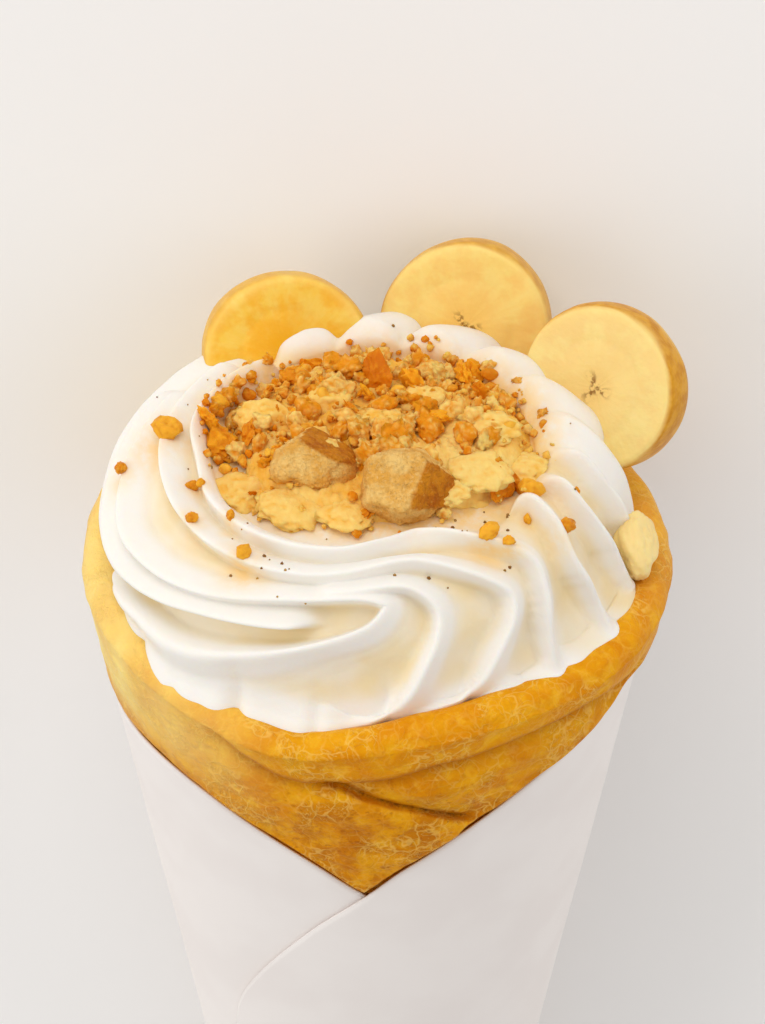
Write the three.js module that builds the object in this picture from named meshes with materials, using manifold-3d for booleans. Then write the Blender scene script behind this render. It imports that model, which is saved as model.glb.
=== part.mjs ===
// A rolled crepe in a plain paper sleeve, filled with piped cream, banana slices, biscuit
// pieces and crumbs. It can't stand unheld, so it lies on its back with its front up.
//
// Every piece is shaped upright first: +Z runs up the axis of the cone, -Y is the front,
// where the sleeve opens, and the origin is the middle of the mouth. Angles go round the
// axis in degrees, 0 at the front and positive to the right. The last lines lay it down.
// All lengths are millimetres.
import * as THREE from 'three';
import { mergeVertices } from 'three/addons/utils/BufferGeometryUtils.js';
import Module from 'manifold-3d';

const wasm = await Module();
wasm.setup();

// Cone
const MOUTH_R = 47;
const SLOPE = 0.187;
const LENGTH = 203;
const LEAN = Math.atan(SLOPE);
const GAP = 0.35;

// Paper sleeve: one sheet rolled round, its right end over its left end
const PAPER = 0.4;
const ROLL_START = -50;
const ROLL_END = 408;
const ROLL_STEP = 0.8;
const TUCK_R = 3;
const PRESS = 0.6;

// Crepe
const CREPE_INSET = 1.75;
const LIP = 3.5;
const FLOOR_DROP = 5;
const FLOOR_Z = -3;
const FOLD_DEPTH = 3;
const FOLD_ROUND = 3.2;
const FOLD_REACH = 6.5;

// Cream, and how far its underside stays from the middle of the crepe's round lip
const RIDGE_DEPTH = 3;
const RIDGE_INNER = 7;
const RIDGE_OUTER = 3;
const LIP_ROOM = LIP + GAP + 0.2;

// Toppings
const SLICE_T = 7.4;
const CHUNK_LEAN = 50;
const SEED = 20;
const GOLDEN_ANGLE = 2.39996;

// Upper edge of the sheet: [degrees of roll from the front, height]
const SHEET_EDGE = through([
  [-50, -68], [-20, -50], [1.5, -38.2], [14, -30.9], [28, -25], [42, -21], [56, -19.8],
  [90, -20.5], [135, -18], [180, -14], [225, -11], [270, -9], [294, -9.1], [308, -12.3],
  [329, -19.3], [352, -31.1], [361.5, -38.2], [375, -48.3], [396, -68.1], [403, -78], [408, -92],
]);

// Height of the crepe's lip, and of the two creases between its layers in front
const LIP_TOP = through([
  [-180, 3.5], [-135, 3.5], [-90, 3], [-60, 2], [-35, 0.3], [-15, -0.5], [0, 2], [15, 4.2],
  [30, 4.6], [50, 3.4], [90, 3], [135, 3.5], [180, 3.5],
]);
const FIRST_CREASE = through([
  [-35, -2.8], [-24, -6.4], [-17, -8.8], [0, -7], [11, -4.8], [30, -2.8], [46, -2.7], [65, -5],
]);
const SECOND_CREASE = through([
  [-20, -8.2], [-10, -9.9], [-1, -12.9], [8, -16.1], [16, -19.1], [25, -21.7], [40, -26],
]);

// Crest envelope of the cream from its middle to its foot: radius, height
const CREAM_PROFILE = new THREE.SplineCurve([
  [0, 19.5], [12, 20], [20, 23.5], [27, 26], [35, 23], [41, 16.5], [43.5, 9.5], [42.8, 4], [41.5, 0],
].map(([r, z]) => new THREE.Vector2(r, z)));
const PROFILE_LENGTH = CREAM_PROFILE.getLength();

// Crests of the piped ridges: [degrees, share of the profile from the middle to the foot]
const CRESTS = [
  [[-150, 0.38], [-128, 0.42], [-99, 0.45], [-79, 0.44], [-56, 0.47], [-30, 0.47], [-9, 0.45],
    [14, 0.38], [24, 0.4], [35, 0.47], [42, 0.53], [47, 0.63], [46, 0.72], [43, 0.85], [42, 0.97]],
  [[-140, 0.46], [-110, 0.51], [-77, 0.54], [-46, 0.555], [-17, 0.54], [8, 0.49], [21, 0.52],
    [32, 0.6], [37, 0.68], [34, 0.77], [27, 0.85], [18, 0.96]],
  [[-22, 0.595], [-5, 0.57], [8, 0.56], [15, 0.6], [18, 0.67], [15, 0.77], [9, 0.87], [2, 0.97]],
  [[-125, 0.53], [-105, 0.58], [-88, 0.65], [-74, 0.715], [-57, 0.705], [-40, 0.67], [-21, 0.615],
    [-3, 0.59], [5, 0.62], [1, 0.69], [-11, 0.75], [-26, 0.81], [-44, 0.85], [-62, 0.87], [-78, 0.92]],
  [[-128, 0.6], [-109, 0.64], [-96, 0.7], [-84, 0.78], [-72, 0.8], [-57, 0.77], [-39, 0.72],
    [-20, 0.685], [-10, 0.66]],
  [[-150, 0.56], [-131, 0.66], [-112, 0.76], [-97, 0.85], [-86, 0.93]],
  [[44, 0.41], [51, 0.46], [55, 0.55], [53, 0.66], [50, 0.78], [50, 0.92]],
  [[60, 0.42], [64, 0.5], [60, 0.62], [58, 0.74], [60, 0.86], [60, 0.97]],
  [[74, 0.46], [75, 0.54], [70, 0.66], [70, 0.78], [73, 0.93]],
  [[88, 0.46], [87, 0.56], [83, 0.68], [83, 0.8], [86, 0.94]],
  [[104, 0.42], [102, 0.54], [97, 0.68], [97, 0.82], [100, 0.95]],
  [[122, 0.4], [119, 0.52], [113, 0.66], [112, 0.8], [114, 0.95]],
  [[142, 0.4], [138, 0.52], [131, 0.66], [129, 0.8], [130, 0.95]],
  [[163, 0.38], [159, 0.5], [151, 0.64], [147, 0.8], [147, 0.95]],
  [[185, 0.38], [180, 0.5], [172, 0.64], [167, 0.8], [165, 0.95]],
  [[205, 0.42], [199, 0.54], [192, 0.68], [186, 0.82], [183, 0.95]],
];

// Outline of the cream's foot on the lip: [degrees, radius]
const CREAM_FOOT = through([
  [-180, 43.2], [-120, 43.6], [-95, 43.4], [-81, 41.9], [-68, 43], [-55, 44.8], [-45, 47.2],
  [-36, 46.2], [-29, 44.6], [-13, 44.9], [-2, 42.9], [7, 42.8], [16, 42.9], [25, 43.4], [38, 46],
  [54, 46.8], [70, 45.6], [96, 43], [130, 43.6], [180, 43.2],
]);

// Banana slices: middle, radius, turn to the left and lean back of the face
const SLICES = {
  banana_left: { at: [-13.7, 29.4, 18.5], radius: 14, turn: -6, lean: 30, phase: 0.4 },
  banana_middle: { at: [15.7, 35.9, 19.5], radius: 14.3, turn: 9, lean: 30, phase: 1.3 },
  banana_right: { at: [37.7, 19.4, 19.7], radius: 14, turn: 32, lean: 30, phase: 2.2 },
};
const BANANA_END = { at: [42.6, -5, 6.4], size: [3.4, 6.5, 4.2] };

// Broken biscuit chunks: middle, reach, and the flat faces that break them off, the crust
// first, each with the way it looks to the right, up and to the front, and its distance
const BISCUITS = {
  biscuit_left: {
    at: [-9.2, -8.6, 27],
    reach: 7.6,
    faces: [
      [[0.42, 0.78, 0.35], 3.6], [[-0.25, -0.1, 1], 3.4], [[-0.85, 0.25, 0.3], 5.4],
      [[0.9, -0.1, 0.3], 6.6], [[-0.2, -0.95, 0.2], 4], [[0.35, -0.5, 0.8], 4.3],
      [[-0.5, 0.8, 0.1], 4.6], [[0, 0, -1], 4],
    ],
  },
  biscuit_right: {
    at: [5.6, -14.2, 26.6],
    reach: 8.2,
    faces: [
      [[0.8, -0.12, 0.6], 5.2], [[-0.22, 0.35, 0.9], 4.8], [[-0.95, 0.1, 0.15], 6.6],
      [[-0.1, 1, 0.1], 5.8], [[-0.35, -0.9, 0.3], 5.6], [[0.45, -0.85, 0.3], 5.4],
      [[0.6, 0.8, 0.1], 6], [[0, 0, -1], 5],
    ],
  },
};

// Heap of crumbs: middle, half sizes and the number of pieces that show
const HEAP = { at: [1.6, 2.6, 22.6], half: [25, 21.5], up: 3.6, down: 2, pieces: 40 };

// Bits scattered over the cream: [degrees, share of the profile, size]
const SCATTER = [
  [-112, 0.44, 3], [-92, 0.5, 2.2], [-84, 0.46, 1.8], [-72, 0.5, 2], [-42, 0.5, 2.8],
  [30, 0.34, 2.8], [29, 0.42, 2.2], [62, 0.5, 3], [48, 0.33, 2.2], [82, 0.4, 2.4],
  [-126, 0.36, 2.2], [-150, 0.36, 2.6], [108, 0.36, 2.2], [150, 0.36, 2.4], [-12, 0.44, 1.6],
];

function radians(degrees) {
  return degrees * Math.PI / 180;
}

function mix(a, b, share) {
  return a + (b - a) * share;
}

function ease(value) {
  const t = Math.min(1, Math.max(0, value));
  return t * t * (3 - 2 * t);
}

// A smooth function through pairs of [position, value], level beyond both ends
function through(pairs) {
  const slopes = pairs.map((pair, i) => {
    const before = pairs[Math.max(i - 1, 0)];
    const after = pairs[Math.min(i + 1, pairs.length - 1)];
    return (after[1] - before[1]) / (after[0] - before[0]);
  });
  return (x) => {
    let i = 0;
    while (i < pairs.length - 2 && x > pairs[i + 1][0]) {
      i += 1;
    }
    const width = pairs[i + 1][0] - pairs[i][0];
    const t = Math.min(1, Math.max(0, (x - pairs[i][0]) / width));
    const start = mix(pairs[i][1], pairs[i + 1][1], t * t * (3 - 2 * t));
    return start + width * t * (1 - t) * ((1 - t) * slopes[i] - t * slopes[i + 1]);
  };
}

// Repeatable random numbers from 0 to 1
function randomFrom(seed) {
  let state = seed;
  return () => {
    state = (state * 1664525 + 1013904223) % 4294967296;
    return state / 4294967296;
  };
}

// A point at an angle round the axis
function polar(angle, r, z) {
  return [r * Math.sin(radians(angle)), -r * Math.cos(radians(angle)), z];
}

function coneRadius(z) {
  return MOUTH_R + SLOPE * z;
}

// How far the rolled sheet lies inside the cone at an angle of roll
function rollInset(roll) {
  return ROLL_STEP * (ROLL_END - roll) / 360;
}

// The floor touches the back of the cone along its whole length. A point beyond the
// floor, or nearer to it than a clearance, is pressed back level with it.
const FLOOR = (MOUTH_R - rollInset(180)) * Math.cos(LEAN) - PRESS;

function pressed([x, y, z], clearance) {
  const beyond = y * Math.cos(LEAN) - z * Math.sin(LEAN) - (FLOOR - clearance);
  if (beyond <= 0) {
    return [x, y, z];
  }
  return [x, y - beyond * Math.cos(LEAN), z + beyond * Math.sin(LEAN)];
}

// An indexed geometry from points and triangles
function geometryOf(points, triangles) {
  const geometry = new THREE.BufferGeometry();
  geometry.setAttribute('position', new THREE.Float32BufferAttribute(points.flat(), 3));
  geometry.setIndex(triangles.flat());
  return geometry;
}

// A closed body of rings from a top pole to a bottom pole: ringPoint(column, row)
function rings(columns, rows, topPole, bottomPole, ringPoint) {
  const points = [topPole, bottomPole];
  const triangles = [];
  for (let row = 0; row < rows; row += 1) {
    for (let column = 0; column < columns; column += 1) {
      points.push(ringPoint(column, row));
    }
  }
  const at = (column, row) => 2 + row * columns + (column % columns);
  for (let column = 0; column < columns; column += 1) {
    triangles.push([0, at(column, 0), at(column + 1, 0)]);
    triangles.push([1, at(column + 1, rows - 1), at(column, rows - 1)]);
    for (let row = 0; row < rows - 1; row += 1) {
      triangles.push([at(column, row), at(column, row + 1), at(column + 1, row)]);
      triangles.push([at(column + 1, row), at(column, row + 1), at(column + 1, row + 1)]);
    }
  }
  return geometryOf(points, triangles);
}

// A closed sheet between an outer and an inner face, each given by face(column, row)
function sheet(columns, rows, outer, inner) {
  const points = [];
  const triangles = [];
  for (const face of [outer, inner]) {
    for (let row = 0; row <= rows; row += 1) {
      for (let column = 0; column <= columns; column += 1) {
        points.push(face(column, row));
      }
    }
  }
  const out = (column, row) => row * (columns + 1) + column;
  const inside = (column, row) => (rows + 1) * (columns + 1) + out(column, row);
  const quad = (a, b, c, d) => triangles.push([a, b, c], [a, c, d]);
  for (let row = 0; row < rows; row += 1) {
    for (let column = 0; column < columns; column += 1) {
      quad(out(column, row), out(column + 1, row), out(column + 1, row + 1), out(column, row + 1));
      quad(inside(column, row), inside(column, row + 1), inside(column + 1, row + 1),
        inside(column + 1, row));
    }
    quad(out(0, row), out(0, row + 1), inside(0, row + 1), inside(0, row));
    quad(out(columns, row + 1), out(columns, row), inside(columns, row), inside(columns, row + 1));
  }
  for (let column = 0; column < columns; column += 1) {
    quad(out(column + 1, 0), out(column, 0), inside(column, 0), inside(column + 1, 0));
    quad(out(column, rows), out(column + 1, rows), inside(column + 1, rows), inside(column, rows));
  }
  return geometryOf(points, triangles);
}

// Joins and cuts
function solidOf(geometry) {
  const plain = geometry.clone();
  plain.deleteAttribute('normal');
  plain.deleteAttribute('uv');
  const merged = mergeVertices(plain);
  return new wasm.Manifold(new wasm.Mesh({
    numProp: 3,
    vertProperties: new Float32Array(merged.attributes.position.array),
    triVerts: new Uint32Array(merged.index.array),
  }));
}

function largestPiece(solid) {
  return solid.decompose().reduce((a, b) => (b.volume() > a.volume() ? b : a));
}

function geometryFrom(solid) {
  const mesh = solid.getMesh();
  const geometry = new THREE.BufferGeometry();
  geometry.setAttribute('position', new THREE.Float32BufferAttribute(mesh.vertProperties, 3));
  geometry.setIndex([...mesh.triVerts]);
  return geometry;
}

function named(name, geometry, colour, roughness) {
  const material = new THREE.MeshStandardMaterial({ color: colour, roughness, metalness: 0 });
  const mesh = new THREE.Mesh(geometry, material);
  mesh.name = name;
  return mesh;
}

// Paper sleeve, with its foot tucked in towards the axis
function paperGeometry() {
  const columns = 68;
  const downs = [0, 0.5, 1];
  const face = (depth) => (column, row) => {
    const roll = mix(ROLL_START, ROLL_END, column / columns);
    const inset = rollInset(roll) + depth;
    const foot = -LENGTH + inset;
    const z = mix(SHEET_EDGE(roll), foot, downs[Math.min(row, downs.length - 1)]);
    const r = row < downs.length ? coneRadius(z) - inset : TUCK_R;
    return pressed(polar(-roll, r, z), depth);
  };
  return sheet(columns, downs.length, face(0), face(PAPER));
}

// The higher of the sheet's two edges where its ends overlap
function sleeveEdge(angle) {
  const roll = -angle;
  const heights = [roll, roll + 360, roll + 720]
    .filter((turn) => turn >= ROLL_START && turn <= ROLL_END)
    .map(SHEET_EDGE);
  return Math.max(...heights);
}

function lipOuter(angle) {
  return MOUTH_R + 0.5 + 1.1 * Math.sin(radians(angle));
}

// Depth of a fold, 1 at its line and fading out at both ends. One layer rounds over the
// line and the other comes out from behind it. The upper one is in front where over is 1,
// the lower one where over is -1.
function crease(angle, z, height, from, to, over) {
  const fade = ease((angle - from) / 9) * ease((to - angle) / 9);
  const off = over * (z - height(angle));
  const front = 1 - Math.sqrt(1 - (1 - Math.min(off / FOLD_ROUND, 1)) ** 2);
  const behind = Math.max(1 + off / FOLD_REACH, 0) ** 1.5;
  return fade * (off > 0 ? front : behind);
}

// Distance of the crepe's outer face from the axis
function crepeRadius(angle, z) {
  const clear = ease((z - sleeveEdge(angle) - 0.9) / 3.5);
  const folds = crease(angle, z, FIRST_CREASE, -36, 68, 1)
    + 0.8 * crease(angle, z, SECOND_CREASE, -14, 40, -1);
  const swell = 0.6 + 1.1 * Math.sin(radians(angle)) - FOLD_DEPTH * folds;
  return coneRadius(z) + mix(-CREPE_INSET, swell, clear);
}

// Crepe: floor under the cream, rounded lip, creased wall, and the foot in the sleeve
function crepeGeometry() {
  const columns = 60;
  const floors = [32, 38.2];
  const bends = [185, 155, 125, 98, 70, 42, 16];
  const walls = 13;
  const downs = [0.02, 0.5, 1];
  const foot = -LENGTH + CREPE_INSET + PAPER;
  const rows = floors.length + bends.length + walls + downs.length;
  const ringPoint = (column, row) => {
    const angle = -180 + column / columns * 360;
    const top = LIP_TOP(angle);
    const outer = lipOuter(angle);
    let i = row;
    if (i < floors.length) {
      return polar(angle, floors[i], floorHeight(angle, floors[i]));
    }
    i -= floors.length;
    if (i < bends.length) {
      const bend = radians(bends[i]);
      const r = outer - LIP + LIP * Math.cos(bend);
      return pressed(polar(angle, r, top - LIP + LIP * Math.sin(bend)), PAPER + GAP);
    }
    i -= bends.length;
    const edge = sleeveEdge(angle);
    const z = i < walls
      ? mix(top - LIP - 0.6, edge + 0.9, i / (walls - 1))
      : mix(edge, foot, downs[i - walls]);
    return pressed(polar(angle, crepeRadius(angle, z), z), PAPER + GAP);
  };
  return rings(columns, rows, [0, 0, FLOOR_Z], [0, 0, foot], ringPoint);
}

// Crest lines as runs of points in the plane of arc length round and along the dome
function crestRuns() {
  return CRESTS.map((crest) => {
    const curve = new THREE.SplineCurve(crest.map(([angle, share]) => new THREE.Vector2(angle, share)));
    return curve.getPoints(crest.length * 4);
  });
}
const CREST_RUNS = crestRuns();

// Height above the valleys: each ridge is steep on its outer side and long on its inner side
function ridge(angle, share) {
  const r = CREAM_PROFILE.getPointAt(share).x;
  let height = 0;
  for (const run of CREST_RUNS) {
    for (const turn of [-360, 0, 360]) {
      let nearest = Infinity;
      let side = 1;
      for (let i = 0; i < run.length - 1; i += 1) {
        const ax = radians(run[i].x + turn - angle) * r;
        const ay = (run[i].y - share) * PROFILE_LENGTH;
        const dx = radians(run[i + 1].x - run[i].x) * r;
        const dy = (run[i + 1].y - run[i].y) * PROFILE_LENGTH;
        const t = Math.min(1, Math.max(0, -(ax * dx + ay * dy) / (dx * dx + dy * dy)));
        const distance = Math.hypot(ax + t * dx, ay + t * dy);
        if (distance < nearest) {
          nearest = distance;
          side = Math.sign(dx * ay - dy * ax);
        }
      }
      const fall = nearest / (side > 0 ? RIDGE_INNER : RIDGE_OUTER);
      height = Math.max(height, fall < 1 ? (1 - fall) ** 1.4 : 0);
    }
  }
  return height * RIDGE_DEPTH;
}

// Height over the crepe's round lip of a point that stays a distance from the lip's middle
function overLip(angle, r, distance) {
  const off = Math.min(distance, Math.abs(r - lipOuter(angle) + LIP));
  return LIP_TOP(angle) - LIP + Math.sqrt(distance * distance - off * off);
}

// Where round the lip the foot of the cream lies: 90 on its top, less further out
function footBend(angle) {
  const off = (CREAM_FOOT(angle) - lipOuter(angle) + LIP) / LIP_ROOM;
  return Math.acos(Math.min(off, Math.cos(radians(25)))) * 180 / Math.PI;
}

// A point round the lip, at the distance of the cream's underside
function aroundLip(angle, bend) {
  const r = lipOuter(angle) - LIP + LIP_ROOM * Math.cos(radians(bend));
  return [r, LIP_TOP(angle) - LIP + LIP_ROOM * Math.sin(radians(bend))];
}

// A point of the cream's skin, lifted by the ridges, its foot lying on the crepe's lip
function creamPoint(angle, share) {
  const at = CREAM_PROFILE.getPointAt(share);
  const tangent = CREAM_PROFILE.getTangentAt(share);
  const ridged = ease((share - 0.26) / 0.14) * (1 - 0.7 * ease((share - 0.9) / 0.1));
  const lift = ridged * (ridge(angle, share) - RIDGE_DEPTH);
  const wide = 1 - 0.022 * Math.sin(radians(angle)) * ease(at.x / MOUTH_R);
  const low = ease((share - 0.78) / 0.22);
  const [footR, footZ] = aroundLip(angle, footBend(angle));
  const r = mix((at.x - tangent.y * lift) * wide, footR, low);
  const z = mix(at.y + tangent.x * lift, footZ, low);
  return polar(angle, r, Math.max(z, overLip(angle, r, LIP_ROOM + 1.2 * (1 - low))));
}

// Height of the crepe's floor under the cream
function floorHeight(angle, r) {
  return mix(FLOOR_Z, LIP_TOP(angle) - FLOOR_DROP, ease(r / 38));
}

// Cream: ridged dome above, and an underside that follows the crepe's lip and floor
function creamGeometry() {
  const columns = 75;
  const skin = 21;
  const bends = 4;
  const floors = [38.4, 30, 14];
  const rows = skin + bends + floors.length;
  const ringPoint = (column, row) => {
    const angle = -180 + column / columns * 360;
    if (row < skin) {
      return creamPoint(angle, mix(0.12, 1, row / (skin - 1)));
    }
    let i = row - skin;
    if (i < bends) {
      return polar(angle, ...aroundLip(angle, mix(footBend(angle), 176, (i + 1) / bends)));
    }
    i -= bends;
    const lift = i === 0 ? 3 * GAP : GAP + 0.2;
    return polar(angle, floors[i], floorHeight(angle, floors[i]) + lift);
  };
  return rings(columns, rows, [0, 0, CREAM_PROFILE.getPointAt(0).y], [0, 0, FLOOR_Z + GAP], ringPoint);
}

// A banana slice: a thick disc with round edges and a slightly three-sided outline
function sliceGeometry({ radius, phase }, grow) {
  const columns = 26;
  const half = SLICE_T / 2 + grow;
  const spots = [[0.6, 1], [0.92, 0.94], [0.985, 0.7], [1, 0], [0.985, -0.7], [0.92, -0.94], [0.6, -1]];
  const ringPoint = (column, row) => {
    const turn = column / columns * Math.PI * 2;
    const r = (radius + grow) * spots[row][0] * (0.985 + 0.015 * Math.cos(3 * (turn - phase)));
    return [r * Math.cos(turn), r * Math.sin(turn), half * spots[row][1]];
  };
  return rings(columns, spots.length, [0, 0, half], [0, 0, -half], ringPoint);
}

// The face of a slice looks to the front, turned left and leant back
function sliceTurn({ turn, lean }) {
  const leanBack = new THREE.Quaternion().setFromAxisAngle(new THREE.Vector3(1, 0, 0), radians(90 - lean));
  const turnLeft = new THREE.Quaternion().setFromAxisAngle(new THREE.Vector3(0, 0, 1), radians(-turn));
  return turnLeft.multiply(leanBack);
}

// A rounded lump, for the end of a slice beside the cream
function lumpGeometry([a, b, c], grow) {
  const sphere = new THREE.SphereGeometry(1, 12, 8);
  return sphere.scale(a + grow, b + grow, c + grow);
}

// A broken chunk: a ball cut by its flat faces
function chunkGeometry({ reach, faces }, grow) {
  let chunk = solidOf(new THREE.SphereGeometry(reach + grow, 12, 8));
  for (const [facing, distance] of faces) {
    const inward = new THREE.Vector3(...facing).normalize().negate();
    chunk = chunk.trimByPlane(inward.toArray(), -distance - grow);
  }
  return geometryFrom(chunk);
}

// A crumb: a small many-sided lump, uneven in all directions
function crumbGeometry(size, seed) {
  const random = randomFrom(seed);
  const ball = new THREE.IcosahedronGeometry(0.5, 0);
  ball.deleteAttribute('normal');
  ball.deleteAttribute('uv');
  const crumb = mergeVertices(ball);
  const spots = crumb.attributes.position;
  for (let i = 0; i < spots.count; i += 1) {
    const push = 0.8 + 0.4 * random();
    spots.setXYZ(i, spots.getX(i) * push, spots.getY(i) * push, spots.getZ(i) * push);
  }
  crumb.scale(1 + 0.3 * random(), 0.8 + 0.3 * random(), 0.75 + 0.2 * random());
  crumb.rotateX(random() * 6).rotateZ(random() * 6);
  return crumb.scale(size, size, size);
}

// Heap of crumbs: a low core with pieces fused on, spread by the golden angle
function heapCore(grow) {
  const [x, y, z] = HEAP.at;
  const columns = 20;
  const spots = [[0.5, 0.86], [0.86, 0.5], [1, 0], [0.8, -1]];
  const ringPoint = (column, row) => {
    const turn = column / columns * Math.PI * 2;
    const wave = 1 + 0.05 * Math.sin(3 * turn + 1) + 0.04 * Math.sin(7 * turn);
    const [out, up] = spots[row];
    const height = up > 0 ? up * (HEAP.up + grow) : up * (HEAP.down + grow);
    return [x + Math.cos(turn) * out * wave * (HEAP.half[0] + grow),
      y + Math.sin(turn) * out * wave * (HEAP.half[1] + grow), z + height];
  };
  return rings(columns, spots.length, [x, y, z + HEAP.up + grow], [x, y, z - HEAP.down - grow], ringPoint);
}

function heapPieces(grow) {
  const random = randomFrom(SEED);
  const pieces = [];
  for (let i = 0; i < HEAP.pieces; i += 1) {
    const out = 0.84 * Math.sqrt((i + 0.5) / HEAP.pieces);
    const turn = i * GOLDEN_ANGLE + 0.4 * random();
    const size = mix(3, 6.4 - 3 * out * out, random());
    const piece = crumbGeometry(size + 2 * grow, SEED + i);
    const z = HEAP.at[2] + HEAP.up * Math.sqrt(1 - out * out) + 0.12 * size;
    pieces.push(piece.translate(HEAP.at[0] + out * HEAP.half[0] * Math.cos(turn),
      HEAP.at[1] + out * HEAP.half[1] * Math.sin(turn), z));
  }
  return pieces;
}

function heapSolid(grow) {
  return wasm.Manifold.union([heapCore(grow), ...heapPieces(grow)].map(solidOf));
}

function scatterSolids() {
  return SCATTER.map(([angle, share, size], i) => {
    const spot = creamPoint(angle, share);
    return solidOf(crumbGeometry(size, SEED * 7 + i).translate(...spot));
  });
}

// Put a geometry where a mesh stands, to cut its room out of a neighbour
function roomOf(geometry, mesh) {
  mesh.updateMatrix();
  return solidOf(geometry.clone().applyMatrix4(mesh.matrix));
}

const cone = new THREE.Group();
const rooms = [];

for (const [name, slice] of Object.entries(SLICES)) {
  const mesh = named(name, sliceGeometry(slice, 0), 0xf2cd78, 0.45);
  mesh.position.set(...slice.at);
  mesh.quaternion.copy(sliceTurn(slice));
  cone.add(mesh);
  rooms.push(roomOf(sliceGeometry(slice, GAP), mesh));
}

const end = named('banana_end', lumpGeometry(BANANA_END.size, 0), 0xf0c66c, 0.45);
end.position.set(...BANANA_END.at);
cone.add(end);
const endRoom = roomOf(lumpGeometry(BANANA_END.size, GAP + 0.1), end);

const chunkRooms = Object.entries(BISCUITS).map(([name, chunk]) => {
  const mesh = named(name, chunkGeometry(chunk, 0), 0xc98a42, 0.85);
  mesh.position.set(...chunk.at);
  mesh.rotation.x = radians(CHUNK_LEAN);
  cone.add(mesh);
  return roomOf(chunkGeometry(chunk, GAP), mesh);
});

let heap = heapSolid(0);
for (const room of [...chunkRooms, ...rooms]) {
  heap = heap.subtract(room);
}
cone.add(named('crumbs', geometryFrom(largestPiece(heap)), 0xd9963f, 0.85));

let cream = wasm.Manifold.union([solidOf(creamGeometry()), ...scatterSolids()]);
for (const room of [...rooms, ...chunkRooms, endRoom, heapSolid(GAP)]) {
  cream = cream.subtract(room);
}
cone.add(named('cream', geometryFrom(largestPiece(cream)), 0xfaf3e6, 0.5));

const crepe = solidOf(crepeGeometry()).subtract(endRoom);
cone.add(named('crepe', geometryFrom(largestPiece(crepe)), 0xdc9c3c, 0.55));
cone.add(named('paper', paperGeometry(), 0xf0ece8, 0.8));

// Lay the cone on its back, with the origin under the middle of its box
cone.rotation.x = LEAN - Math.PI / 2;
cone.position.z = FLOOR;
const part = new THREE.Group();
part.add(cone);
part.updateMatrixWorld(true);
const middle = new THREE.Box3().setFromObject(part, true).getCenter(new THREE.Vector3());
cone.position.x = -middle.x;
cone.position.y = -middle.y;

export default part;
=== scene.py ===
"""A rolled crepe in a plain paper sleeve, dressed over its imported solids.

Every piece is shaped upright in millimetres, as the solids are: +Z runs up the axis of the
cone, -Y is the front, where the sleeve opens, and the origin is the middle of the mouth.
Angles go round the axis in degrees, 0 at the front and positive to the right. lay() turns
points onto their back, into the frame's metres.
"""
import math

import bpy
import bmesh
import numpy as np
from mathutils import Matrix, Vector


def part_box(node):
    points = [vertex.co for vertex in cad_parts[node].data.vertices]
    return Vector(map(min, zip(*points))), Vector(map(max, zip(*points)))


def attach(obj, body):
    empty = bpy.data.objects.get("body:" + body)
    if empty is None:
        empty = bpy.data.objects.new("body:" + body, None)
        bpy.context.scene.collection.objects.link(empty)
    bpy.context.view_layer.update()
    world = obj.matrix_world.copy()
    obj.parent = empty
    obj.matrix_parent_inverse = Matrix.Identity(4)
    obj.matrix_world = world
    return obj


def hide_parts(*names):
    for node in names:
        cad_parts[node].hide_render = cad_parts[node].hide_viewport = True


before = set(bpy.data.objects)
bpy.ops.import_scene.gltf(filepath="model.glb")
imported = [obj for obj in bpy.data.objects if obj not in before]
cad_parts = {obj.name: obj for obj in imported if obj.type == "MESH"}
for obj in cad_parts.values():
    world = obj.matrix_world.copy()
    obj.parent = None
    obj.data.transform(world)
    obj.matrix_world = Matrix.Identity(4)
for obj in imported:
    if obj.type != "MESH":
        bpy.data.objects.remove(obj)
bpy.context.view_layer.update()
MM = 0.001

# Cone
MOUTH_R = 47.0
SLOPE = 0.187
LENGTH = 203.0
LEAN = math.atan(SLOPE)

# Paper sleeve: one sheet rolled round, its right end over its left end
PAPER = 0.4
ROLL_START = -50.0
ROLL_END = 408.0
ROLL_STEP = 0.8
TUCK_R = 3.0
PRESS = 0.6

# Crepe: its lip is round, and its floor lies under the cream
CREPE_INSET = 1.75
LIP = 3.5
LIP_INNER = 38.0
FLOOR_DROP = 5.0
FLOOR_Z = -3.0
FLOOR_RINGS = (10, 20, 30, 36, LIP_INNER + 0.2)
FOLD_DEPTH = 3.0
FOLD_ROUND = 3.2
FOLD_REACH = 6.5
FOLD_HANG = 1.6

# Cream
RIDGE_DEPTH = 5.2
RIDGE_INNER = 8.2
RIDGE_ROUND = 2.4
RIDGE_OUTER = 1.5
RIDGE_LEAN = 1.3
LOBE_HALF = 5.6
FOOT_CURL = 0.9
SKIRT_FOLD = 2.2
FOOT_ROUNDS = 30

# Toppings
SLICE_T = 7.4
SLICE_LEAN = 30
HEAP_SINK = 3.5

# Noises: strength, size in millimetres, octaves, seed
PAPER_WAVES = (0.12, 26.0, 1, 5)
CREPE_LUMPS = (0.55, 13.0, 3, 3)
CREPE_PITS = (0.12, 3.2, 2, 9)
CREPE_RISES = (0.35, 11.0, 2, 14)
CREPE_PATCHES = (0.35, 9.0, 3, 50)
CREAM_WAVES = (0.3, 9.0, 2, 21)
SKIRT_WAVES = (0.7, 5.0, 1, 33)
FOOT_WAVES = (0.35, 4.0, 1, 31)
HEAP_LUMPS = (1.1, 3.4, 3, 41)
HEAP_GRAINS = (0.45, 1.1, 2, 47)
HEAP_SHADES = (0.5, 6.0, 2, 3)
SLICE_OUTLINE = (0.008, 0.5, 1, 3)
SLICE_RAYS = (0.04, 1.0, 1, 7)
SLICE_WAVES = (0.25, 5.0, 1, 11)
SLICE_SIDES = (0.008, 4.0, 1, 15)

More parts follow.
